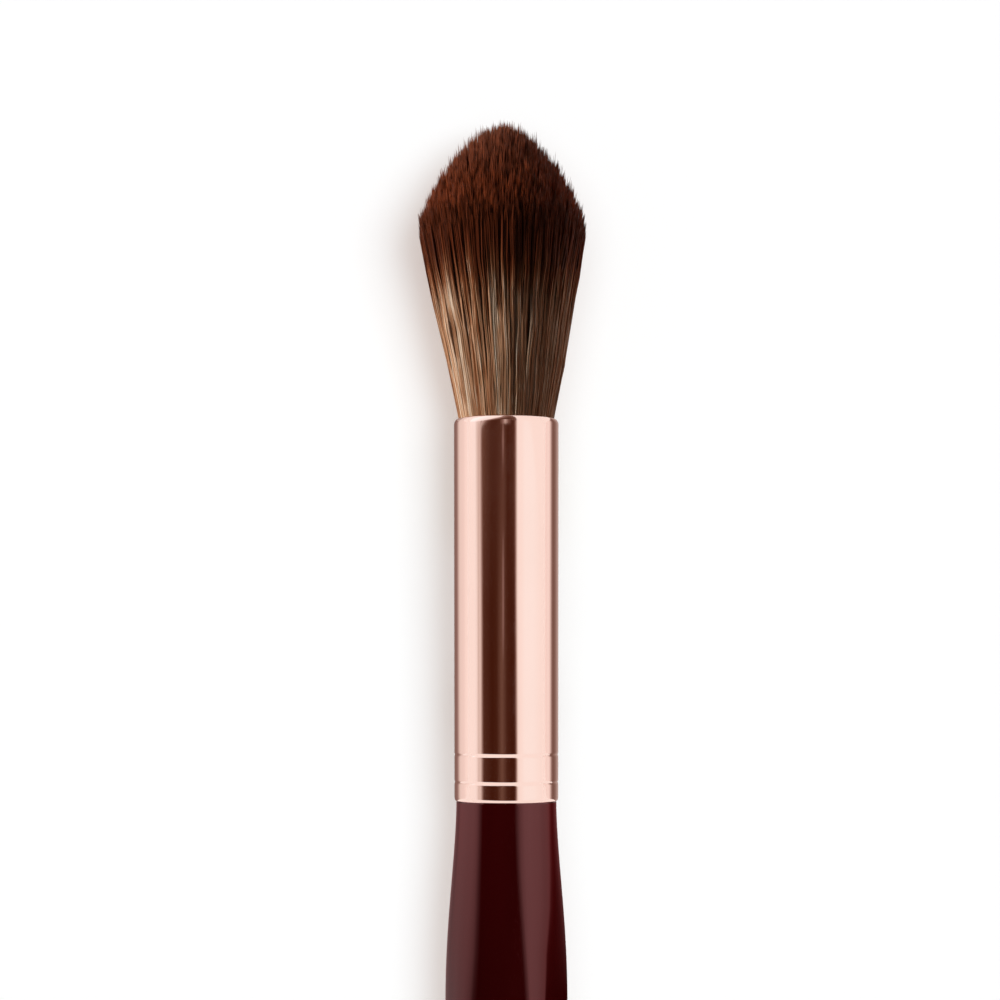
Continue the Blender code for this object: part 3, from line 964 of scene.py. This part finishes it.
def add_floor(stage):
    """The table: matt and pale, lifted to white where it is seen, with the brush's shadow on it."""
    material = bpy.data.materials.new("pale_table")
    tree = emptied(material)
    matt = add_node(tree, "ShaderNodeBsdfDiffuse", {"Color": opaque(stage.floor)})
    inputs = {"Color": opaque(stage.floor_lift), "Strength": seen_ray(tree)}
    lift = add_node(tree, "ShaderNodeEmission", inputs)
    both = add_node(tree, "ShaderNodeAddShader", {0: matt.outputs["BSDF"], 1: lift.outputs["Emission"]})
    add_node(tree, "ShaderNodeOutputMaterial", {"Surface": both.outputs["Shader"]})
    size = stage.floor_size
    bent_sheet("table", lambda across, along: (size * (across - 0.5), size * (along - 0.5), 0), material)


# What the ferrule reflects

HIGH = 0.15
OVER_HAIR = 0.02
OVER_TABLE = 0.0004
UNDER_CARD = 0.0004
BUTT_SIDE = -0.104
LIP_LINE = 0.021
FERRULE_LINE = -0.0505
HAIR_LINE = 0.01
UPPER_LINE = (0.0108, 0.0030)
LOWER_LINE = (-0.0095, -0.0345)

SHADES = (
    (0.11, (0.042, 0.0083, 0.0038)),
    (0.15, (0.055, 0.0134, 0.0058)),
    (0.23, (0.083, 0.032, 0.0204)),
    (0.33, (0.145, 0.0735, 0.052)),
    (0.46, (0.255, 0.158, 0.137)),
    (0.78, (0.634, 0.537, 0.503)),
    (1.0, WHITE),
)


def shade(lightness):
    """What the plating must reflect to look this light, from its darkest brown to its palest rose."""
    steps = [step for step, _ in SHADES]
    return tuple(float(np.interp(lightness, steps, [tint[part] for _, tint in SHADES])) for part in range(3))


def shades(*stops):
    """Ramp stops of these lightnesses."""
    return [(place, shade(lightness)) for place, lightness in stops]


def shaded(stops, start, end):
    """Ramp stops for a sheet that is seen from one share of the ferrule's half width to another."""
    return shades(*[((place - start) / (end - start), lightness) for place, lightness in stops])


def reflected_sheet(name, place, material):
    """A glowing sheet that polished surfaces show and nothing else does, so what they show of it is a
    painted reflection. Place is from the point under the mouth.
    """

    def from_mouth(across, along):
        x, y, z = place(across, along)
        return x, MOUTH.y + y, z

    sheet = bent_sheet(name, from_mouth, material)
    sheet.visible_camera = False
    sheet.visible_diffuse = False
    sheet.visible_transmission = False
    sheet.visible_volume_scatter = False
    sheet.visible_shadow = False


def shown_at(share_of_half, level, stage):
    """How far to the side a sheet lies that is to be seen at this share of the ferrule's half width."""
    turn = math.asin(share_of_half * (1 - FERRULE_RADIUS / stage.camera_distance))
    side = FERRULE_RADIUS * math.sin(turn)
    view = math.atan((side - stage.camera_shift) / stage.camera_distance)
    return side + (level - FERRULE_RADIUS * math.cos(turn)) * math.tan(2 * turn + view)


def add_high_card(stage):
    """The dark glowing card high above, whose painted reflection is the long dark stripe. A grey band in its
    glow along its left edge paints the reflection of a rod, its end over the hair is cut at a slant, and its
    right side widens towards the butt."""
    left, right = -0.60, 0.29
    hair_end = [
        (-0.60, 1.0),
        (-0.574, 0.87),
        (-0.535, 0.765),
        (-0.516, 0.79),
        (-0.497, 0.67),
        (-0.478, 0.43),
        (-0.459, 0.325),
        (-0.382, 0.25),
        (-0.286, 0.19),
        (-0.20, 0.19),
        (-0.113, 0.24),
        (-0.05, 0.27),
        (0.021, 0.16),
        (0.136, 0.215),
        (0.156, 0.29),
        (0.175, 0.47),
        (0.194, 0.80),
        (0.213, 1.0),
        (0.29, 1.0),
    ]
    butt_end = [
        (-0.60, 0.98),
        (-0.574, 0.965),
        (-0.535, 0.785),
        (-0.516, 0.885),
        (-0.497, 0.81),
        (-0.478, 0.575),
        (-0.459, 0.345),
        (-0.44, 0.21),
        (-0.286, 0.137),
        (-0.19, 0.165),
        (-0.095, 0.335),
        (0.0, 0.185),
        (0.08, 0.14),
        (0.15, 0.15),
        (0.175, 0.40),
        (0.194, 0.75),
        (0.215, 0.98),
        (0.29, 1.0),
    ]
    change = (0.6, 0.86)
    widens_by, widens_below, widens_over = 0.016, 0.66, 0.24
    butt_slant, butt_corner = 0.07, -0.1
    hair_cut, hair_slant, hair_slant_over, hair_corner = 0.0155, 0.055, 0.1, -0.12
    left_slant, left_corner = 0.15, -0.06

    def card(across, along):
        wider = widens_by * clamped((widens_below - along) / widens_over) * across
        x = shown_at(between(left, right, across) + wider, HIGH, stage)
        start = BUTT_SIDE + butt_slant * min(x - butt_corner, 0)
        end = hair_cut + hair_slant * min(max(x - hair_corner, 0), hair_slant_over)
        end -= left_slant * min(x - left_corner, 0)
        return x, between(start, end, along), MOUTH.z + HIGH

    glowing = glow("dark_card", shaded(butt_end, left, right), shaded(hair_end, left, right), change)
    reflected_sheet("high_card", card, glowing)


def add_pale_card(stage):
    """The white glowing sheet at the right of the dark card, whose painted reflection is a little cool, as
    rose gold warms what it shows.
    """
    left, right = 0.30, 0.66
    cool_white = (1.01, 1.06, 1.08)
    stops = [(0.0, WHITE), (0.15, cool_white), (0.6, cool_white), (1.0, WHITE)]

    def pale_card(across, along):
        x = shown_at(between(left, right, across), HIGH, stage)
        return x, between(BUTT_SIDE, LIP_LINE, along), MOUTH.z + HIGH

    reflected_sheet("pale_card", pale_card, glow("pale_card", stops))


def add_light_line(name, start, end, stage):
    """A thin glowing sheet just under the card, whose painted reflection is a thin light line in the stripe;
    it tapers at its ends.
    """
    middle, half_width, taper = -0.065, 0.027, 0.25

    def line(across, along):
        half = half_width * clamped(min(along, 1 - along) / taper)
        x = shown_at(middle + half * (2 * across - 1), HIGH, stage)
        return x, between(start, end, along), MOUTH.z + HIGH - UNDER_CARD

    stops = shades((0.0, 0.24), (0.35, 0.46), (0.65, 0.46), (1.0, 0.2))
    reflected_sheet(name, line, glow(name, stops))


def add_lip_card():
    """A dark glowing sheet low over the hair, whose slanting left edge rounds off the painted reflection of
    the stripe on the lip, and a brighter glowing sheet beside that edge, whose reflection is a painted shine
    on the lip."""
    level = MOUTH.z + OVER_HAIR
    left_edge = [(-0.0280, 0.0007), (-0.0225, 0.0015), (-0.0160, 0.0030), (-0.0112, 0.0050)]
    left_edge += [(-0.0062, 0.0105), (-0.0042, 0.0150), (-0.0032, 0.06)]
    steps = [step / (len(left_edge) - 1) for step in range(len(left_edge))]
    card_right = 0.0068
    shine_left, overlap = -0.30, 0.0004
    shine_start, shine_near, shine_far = 0.0019, 0.033, 0.25

    def edge(along):
        x, y = (float(np.interp(along, steps, values)) for values in zip(*left_edge))
        return x, y

    def card(across, along):
        x, y = edge(along)
        return between(x, card_right, across), y, level

    def shine(across, along):
        x, y = edge(along)
        y = between(max(y, shine_start), between(shine_near, shine_far, along), across)
        return between(x - overlap, shine_left, across), y, level

    near = shades((0.0, 0.85), (0.15, 0.66), (0.35, 0.44), (0.5, 0.27), (0.7, 0.22), (1.0, 0.34))
    far = shades((0.0, 0.55), (0.5, 0.38), (0.8, 0.33), (1.0, 0.42))
    bright = (1.15, 1.28, 1.36)
    shining = [(0.0, WHITE), (0.1, bright), (0.7, bright), (1.0, WHITE)]
    reflected_sheet("lip_card", card, glow("dark_lip_card", near, far, (0.45, 0.85)))
    reflected_sheet("lip_shine", shine, glow("lip_shine", shining))


def add_lip_glint():
    """A small glowing sheet, whose reflection is a painted glint in the stripe on the lip."""
    left, right = -0.0038, 0.0032
    start, end = -0.0003, 0.0019
    level = MOUTH.z + OVER_HAIR - 0.001

    def glint(across, along):
        return between(left, right, across), between(start, end, along), level

    stops = shades((0.0, 0.25), (0.25, 0.45), (0.45, 0.72), (0.7, 0.4), (1.0, 0.2))
    reflected_sheet("lip_glint", glint, glow("lip_glint", stops))


def add_lip_shoulder():
    """A darker, rosy glowing sheet just over the table, which the lip shows at its left: painted shade in
    the lip's reflection.
    """
    inner, outer = 0.0085, 0.035
    start, end = 0.0036, 0.03
    slant, corner = 0.12, 0.012
    rosy = (0.55, 0.46, 0.43)

    def shoulder(across, along):
        x = between(inner, outer, across)
        return -x, between(start + slant * max(x - corner, 0), end, along), OVER_TABLE

    reflected_sheet("lip_shoulder", shoulder, glow("lip_shoulder", [(0.0, rosy), (0.5, shade(0.9))]))


def add_side_sheets():
    """Glowing sheets just over the table that the ferrule's sides show: a painted reflection of the table,
    with painted shade, darker and rosier, beside the brush.
    """
    reach_out = 0.15

    def beside_ferrule(side, narrowing):
        def place(across, along):
            x = side * reach_out * across * between(narrowing, 1, along)
            return x, between(FERRULE_LINE, HAIR_LINE, along), OVER_TABLE

        return place

    left = [
        (0.0, (0.24, 0.155, 0.135)),
        (0.092, (0.25, 0.16, 0.14)),
        (0.107, (0.38, 0.29, 0.27)),
        (0.122, (0.61, 0.52, 0.49)),
        (0.14, (0.80, 0.74, 0.72)),
        (0.17, (0.86, 0.80, 0.785)),
        (0.26, (0.90, 0.84, 0.83)),
        (0.4, (0.975, 0.935, 0.92)),
        (1.0, WHITE),
    ]
    right = [
        (0.0, (0.70, 0.60, 0.57)),
        (0.068, (0.50, 0.42, 0.39)),
        (0.085, (0.40, 0.30, 0.275)),
        (0.10, (0.285, 0.205, 0.18)),
        (0.117, (0.225, 0.145, 0.125)),
        (0.137, (0.19, 0.115, 0.095)),
        (0.16, (0.20, 0.12, 0.10)),
        (0.183, (0.33, 0.24, 0.22)),
        (0.214, (0.62, 0.53, 0.51)),
        (0.25, (0.88, 0.80, 0.79)),
        (0.31, (0.96, 0.92, 0.91)),
        (0.59, (0.95, 0.875, 0.875)),
        (1.0, (0.97, 0.92, 0.91)),
    ]
    reflected_sheet("ferrule_left", beside_ferrule(-1, 1.0), glow("ferrule_left", left))
    reflected_sheet("ferrule_right", beside_ferrule(1, 0.91), glow("ferrule_right", right))


# What the handle reflects

LINER_LIFT = 0.00015
LINER_EDGE = 115
LINER_STOPS = (0.0, 0.375, 0.625, 0.875, 1.0)
BELOW_FOOT = (0.0018, 0.0078, 0.0128, 0.0178, 0.0228, 0.0250)
STRIPE_LEFT = (33.6, 32.6, 31.9, 31.9, 34.1, 35.6)
STRIPE_RIGHT = (14.2, 14.9, 16.9, 19.0, 21.3, 22.0)
DARK_SIDE = (60.8, 57.2, 51.6, 43.4, 40.4, 39.3)
BUTT_ROUND_SHARE = 0.7
BUTT_DIMMED = (0.25, 0.25, 0.25)


def greys(*stops):
    """Ramp stops of these lightnesses, each with the share of it that green and blue keep."""
    return [(place, (lightness, kept * lightness, kept * lightness)) for place, lightness, kept in stops]


def neck_tints():
    """The painted reflection on the neck, from its left side to its right: a soft sheen, a dark stripe and
    another sheen.
    """
    stops = greys((0.0, 0.9, 0.9), (0.05, 0.33, 0.5), (0.19, 0.35, 0.46), (0.221, 0.68, 0.50))
    stops += greys((0.246, 0.79, 0.58), (0.286, 0.88, 0.72), (0.34, 0.92, 0.86), (0.361, 0.79, 0.87))
    stops += greys((0.373, 0.55, 0.87), (0.387, 0.24, 0.85))
    stops += [(0.401, (0.07, 0.004, 0.006)), (0.598, (0.03, 0.002, 0.003))]
    stops += greys((0.608, 0.15, 1.0), (0.633, 0.63, 1.0), (0.66, 0.94, 1.0), (0.695, 1.0, 0.99))
    stops += greys((0.764, 0.9, 0.87), (0.798, 0.76, 0.77), (0.838, 0.70, 0.6), (0.86, 0.66, 0.45))
    stops += greys((0.875, 0.42, 0.3), (0.882, 0.26, 0.12), (0.891, 0.2, 0.12), (0.92, 0.3, 0.3))
    return stops + greys((0.96, 0.3, 0.5), (1.0, 0.9, 0.9))


def bulge_tints():
    """The painted reflection on the bulge, with a black stripe and a black right side."""
    stops = greys((0.0, 0.9, 0.9), (0.05, 0.3, 0.6), (0.17, 0.35, 0.62), (0.20, 0.42, 0.68))
    stops += greys((0.23, 0.49, 0.75), (0.265, 0.63, 0.84), (0.325, 0.68, 0.9), (0.35, 0.56, 0.9))
    stops += greys((0.365, 0.43, 0.9), (0.38, 0.12, 0.9))
    stops += [(0.401, BLACK), (0.607, BLACK)]
    stops += greys((0.633, 0.78, 0.98), (0.658, 0.87, 0.98), (0.735, 0.79, 0.97), (0.80, 0.68, 0.88))
    stops += greys((0.85, 0.62, 0.76), (0.866, 0.25, 0.6), (0.876, 0.02, 0.1), (0.92, 0.03, 0.0))
    return stops + greys((0.97, 0.04, 0.0), (1.0, 0.5, 0.5))


def lined(across, radius, height, widest):
    """The liner's point at this share of the way across it. The painted reflection's dark stripe and dark
    right side keep their places in the liner's colours, but turn about the handle further below the ferrule."""
    below = FERRULE_FOOT - height
    left = -np.interp(below, BELOW_FOOT, STRIPE_LEFT)
    right = np.interp(below, BELOW_FOOT, STRIPE_RIGHT)
    dark = np.interp(below, BELOW_FOOT, DARK_SIDE)
    turn = math.radians(np.interp(across, LINER_STOPS, (-widest, left, right, dark, widest)))
    spot = ALONG * height + RIGHT * radius * math.sin(turn) - DOWN * radius * math.cos(turn)
    return spot.x, spot.y, MOUTH.z + spot.z


def add_handle_liner(handle):
    """A glowing liner close over the handle and another over its butt, which only polished surfaces show.
    They paint the lacquer's reflection, its soft stripe and its dark right side, and take back the grey that
    lacquer shows towards its edges."""
    tail_end = (handle.butt_radius, BUTT_END + handle.butt_round)
    outline = (body_outline(handle) + [tail_end])[::-1]
    radii, heights = zip(*outline)
    lifted_round = handle.butt_radius - handle.butt_land + LINER_LIFT

    def over_body(across, along):
        height = between(FERRULE_FOOT - LINER_LIFT, heights[0], along)
        return lined(across, np.interp(height, heights, radii) + LINER_LIFT, height, LINER_EDGE)

    def over_butt(across, along):
        turn = math.radians(90 * min(along / BUTT_ROUND_SHARE, 1))
        radius = handle.butt_land + lifted_round * math.cos(turn)
        radius *= min((1 - along) / (1 - BUTT_ROUND_SHARE), 1)
        height = heights[0] - (handle.butt_round + LINER_LIFT) * math.sin(turn)
        return lined(across, radius, height, between(LINER_EDGE, 180, along))

    at_bulge = bulge_tints()
    dimmed = [(place, deepened(tint, BUTT_DIMMED)) for place, tint in at_bulge]
    reflected_sheet("handle_liner", over_body, glow("handle_liner", neck_tints(), at_bulge, (0.02, 0.27)))
    reflected_sheet("butt_liner", over_butt, glow("butt_liner", at_bulge, dimmed, (0.1, 0.9)))


# Lamps, room and camera

HEAD_MIDDLE = (0, MOUTH.y + 0.018, MOUTH.z)
DOME_SIDE = (0.0095, MOUTH.y + 0.0265, MOUTH.z)
KEY_PLACE = (-0.50, MOUTH.y + 0.12, 0.17)
KEY_SIZE = 0.2
SIDE_PLACE = (0.4, MOUTH.y + 0.1, 0.03)
SIDE_SIZE = 0.1
RIM_PLACE = (0.4, MOUTH.y + 0.06, 0.02)
RIM_SIZE = 0.005
NEAREST_SEEN = 0.01


def add_lamp(name, kind, power, receivers):
    """A lamp that lights only these objects and isn't seen in any, and its light."""
    light = bpy.data.lights.new(name, kind)
    light.energy = power
    lamp = bpy.data.objects.new(name, light)
    bpy.context.scene.collection.objects.link(lamp)
    lamp.visible_camera = False
    lamp.visible_glossy = False
    lamp.light_linking.receiver_collection = receivers
    return lamp, light


def stand(lamp, place, aim):
    """Stands a lamp at a place, turned to where it aims."""
    lamp.location = place
    lamp.rotation_euler = (Vector(aim) - Vector(place)).to_track_quat("-Z", "Y").to_euler()


def add_sun(name, lean, spread, brightness, receivers):
    """A broad, even lamp that leans to the right. A brightness of 1 shows the table's colour as it is."""
    lamp, light = add_lamp(name, "SUN", brightness * math.pi / math.cos(lean), receivers)
    light.angle = spread
    lamp.rotation_euler = (0, lean, 0)


def add_soft_lamp(name, place, size, power, tint, receivers):
    """A square soft lamp at one side of the hair."""
    lamp, light = add_lamp(name, "AREA", power, receivers)
    light.size = size
    light.color = tint
    stand(lamp, place, HEAD_MIDDLE)


def add_rim_beam(stage, receivers):
    """A narrow, soft-edged beam on the dome's right side."""
    lamp, light = add_lamp("dome_rim", "SPOT", stage.rim_power, receivers)
    light.spot_size = stage.rim_spread
    light.spot_blend = 1.0
    light.shadow_soft_size = RIM_SIZE
    light.color = stage.rim_tint
    stand(lamp, RIM_PLACE, DOME_SIDE)


def add_lamps(stage):
    """Two broad lamps for all but the hair, and three lamps for the hair alone."""
    hair = bpy.data.collections.new("hair")
    all_but_hair = bpy.data.collections.new("all_but_hair")
    for thing in bpy.data.objects:
        lit = hair if thing.name.startswith("hair_lock") else all_but_hair
        lit.objects.link(thing)
    add_sun("sky", 0, stage.sky_spread, stage.sky, all_but_hair)
    add_sun("window", stage.window_lean, stage.window_spread, stage.window, all_but_hair)
    add_soft_lamp("hair_key", KEY_PLACE, KEY_SIZE, stage.key_power, stage.key_tint, hair)
    add_soft_lamp("hair_side", SIDE_PLACE, SIDE_SIZE, stage.side_power, stage.side_tint, hair)
    add_rim_beam(stage, hair)


def add_room(stage):
    """The white room: as bright as paper where it is seen, and a soft fill of light elsewhere."""
    world = bpy.data.worlds.new("white_room")
    bpy.context.scene.world = world
    world.cycles.sampling_method = "NONE"
    tree = emptied(world)
    colour_of_room = mixed_colour(tree, seen_ray(tree), stage.fill, WHITE)
    light = add_node(tree, "ShaderNodeBackground", {"Color": colour_of_room, "Strength": 1.0})
    add_node(tree, "ShaderNodeOutputWorld", {"Surface": light.outputs["Background"]})


def add_camera(stage):
    """Looks down on the brush from above the ferrule, turned a little towards the hair."""
    place = MOUTH - ALONG * stage.camera_foot - DOWN * stage.camera_distance
    place.x = stage.camera_shift
    aim = MOUTH - ALONG * stage.camera_aim
    aim.x = stage.camera_shift
    back = (place - aim).normalized()
    turn = Matrix((RIGHT, back.cross(RIGHT), back)).transposed().to_4x4()
    turn.translation = place
    camera = bpy.data.objects.new("camera", bpy.data.cameras.new("camera"))
    bpy.context.scene.collection.objects.link(camera)
    camera.matrix_world = turn
    camera.data.lens = stage.lens
    camera.data.clip_start = NEAREST_SEEN
    bpy.context.scene.camera = camera


# Operators

def settings(context):
    """The brush's settings in this scene."""
    return context.scene.powder_brush


def handling_marks():
    """The group of handling marks, which is made once."""
    return bpy.data.node_groups.get("handling_marks") or handling_group()


class DrawFerrule(bpy.types.Operator):
    """Draws the ferrule's tube, turns in its lip and rolls its grooves"""

    bl_idname = "powder_brush.draw_ferrule"
    bl_label = "Draw Ferrule"

    def execute(self, context):
        ferrule = settings(context).ferrule
        material = rose_gold(ferrule, handling_marks())
        tube = add_turned("ferrule_tube", ferrule_profile(ferrule), True, material)
        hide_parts("ferrule")
        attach(tube, BODY)
        return {"FINISHED"}


class TurnHandle(bpy.types.Operator):
    """Turns the handle with its tenon and lacquers it"""

    bl_idname = "powder_brush.turn_handle"
    bl_label = "Turn Handle"

    def execute(self, context):
        chosen = settings(context)
        profile = handle_profile(chosen.handle, chosen.ferrule)
        material = burgundy_lacquer(chosen.handle, handling_marks())
        turned_handle = add_turned("lacquered_handle", profile, False, material)
        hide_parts("handle")
        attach(turned_handle, BODY)
        return {"FINISHED"}


class CastEpoxy(bpy.types.Operator):
    """Casts the slice of epoxy that the bristles stand in, and finishes the plug and the rings of glue"""

    bl_idname = "powder_brush.cast_epoxy"
    bl_label = "Cast Epoxy and Glue"

    def execute(self, context):
        chosen = settings(context)
        inner = chosen.inner
        epoxy = cured_resin("cured_epoxy", inner.amber, inner.cloud, scale=500.0, roughness=0.12)
        glue = cured_resin("cured_glue", inner.glue, inner.glue_shade, scale=900.0, roughness=0.35)
        top = -chosen.hair.slice
        profile = [(0, top), (PLUG_RADIUS, top), (PLUG_RADIUS, SLICE_FOOT), (0, SLICE_FOOT)]
        cast = add_turned("epoxy_slice", profile, False, epoxy)
        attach(cast, BODY)
        for node, material in (("epoxy_plug", epoxy), ("glue_ring_1", glue), ("glue_ring_2", glue)):
            frame["nodes"][node].material_slots[0].material = material
        return {"FINISHED"}


class SetHair(bpy.types.Operator):
    """Sets the bristles in the epoxy, fans them, gathers them in tufts and cuts and dyes them"""

    bl_idname = "powder_brush.set_hair"
    bl_label = "Set Hair"

    def execute(self, context):
        chosen = settings(context)
        hair = chosen.hair
        chance = np.random.default_rng(hair.seed)
        bundle = Bundle(hair, chosen.ferrule)
        gathering = Gathering(hair, chance)
        lines = pressed(bristle_lines(hair, bundle, gathering, chance), bundle)
        columns = bristle_columns(hair, gathering, chance)
        round_the_axis = np.argsort(np.arctan2(gathering.roots[:, 1], gathering.roots[:, 0]))
        source = bristle(lines.shape[1] - 1)
        material = dyed_hair(hair)
        for number, members in enumerate(np.array_split(round_the_axis, hair.locks), start=1):
            mesh = repeated(source, len(members))
            mesh.name = f"hair_lock_{number}"
            shape_bristles(mesh, source, lines[members], columns[members], hair, chance)
            mesh.shade_smooth()
            lock = add_object(f"hair_lock_{number}", mesh, material)
            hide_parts("bristle_head")
            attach(lock, BODY)
        return {"FINISHED"}


class SetStage(bpy.types.Operator):
    """Sets up the table, the white room, the lamps and the camera"""

    bl_idname = "powder_brush.set_stage"
    bl_label = "Set Stage"

    def execute(self, context):
        stage = settings(context).stage
        add_floor(stage)
        add_high_card(stage)
        add_pale_card(stage)
        add_light_line("upper_line", *UPPER_LINE, stage)
        add_light_line("lower_line", *LOWER_LINE, stage)
        add_lip_card()
        add_lip_glint()
        add_lip_shoulder()
        add_side_sheets()
        add_handle_liner(settings(context).handle)
        add_room(stage)
        # The table and the hair get no light by way of the two polished pieces.
        for polished in ("ferrule_tube", "lacquered_handle"):
            bpy.data.objects[polished].visible_diffuse = False
        add_lamps(stage)
        add_camera(stage)
        context.scene.view_settings.view_transform = "Standard"
        return {"FINISHED"}


class BrushPanel(bpy.types.Panel):
    """The brush's pieces and its stage, in the order in which they are made"""

    bl_idname = "VIEW3D_PT_powder_brush"
    bl_label = "Powder Brush"
    bl_space_type = "VIEW_3D"
    bl_region_type = "UI"
    bl_category = "Powder Brush"

    def draw(self, context):
        chosen = settings(context)
        for operator, group in STEPS:
            box = self.layout.box()
            box.operator(operator.bl_idname)
            values = getattr(chosen, group)
            for name in values.__annotations__:
                box.prop(values, name)


STEPS = (
    (DrawFerrule, "ferrule"),
    (TurnHandle, "handle"),
    (CastEpoxy, "inner"),
    (SetHair, "hair"),
    (SetStage, "stage"),
)
CLASSES = (
    FerruleSettings,
    HandleSettings,
    HairSettings,
    InnerSettings,
    StageSettings,
    BrushSettings,
    DrawFerrule,
    TurnHandle,
    CastEpoxy,
    SetHair,
    SetStage,
    BrushPanel,
)


def register():
    for made in CLASSES:
        bpy.utils.register_class(made)
    bpy.types.Scene.powder_brush = PointerProperty(type=BrushSettings)


def unregister():
    del bpy.types.Scene.powder_brush
    for made in reversed(CLASSES):
        bpy.utils.unregister_class(made)


def main():
    register()
    bpy.ops.powder_brush.draw_ferrule()
    bpy.ops.powder_brush.turn_handle()
    bpy.ops.powder_brush.cast_epoxy()
    bpy.ops.powder_brush.set_hair()
    bpy.ops.powder_brush.set_stage()


if __name__ == "__main__":
    main()
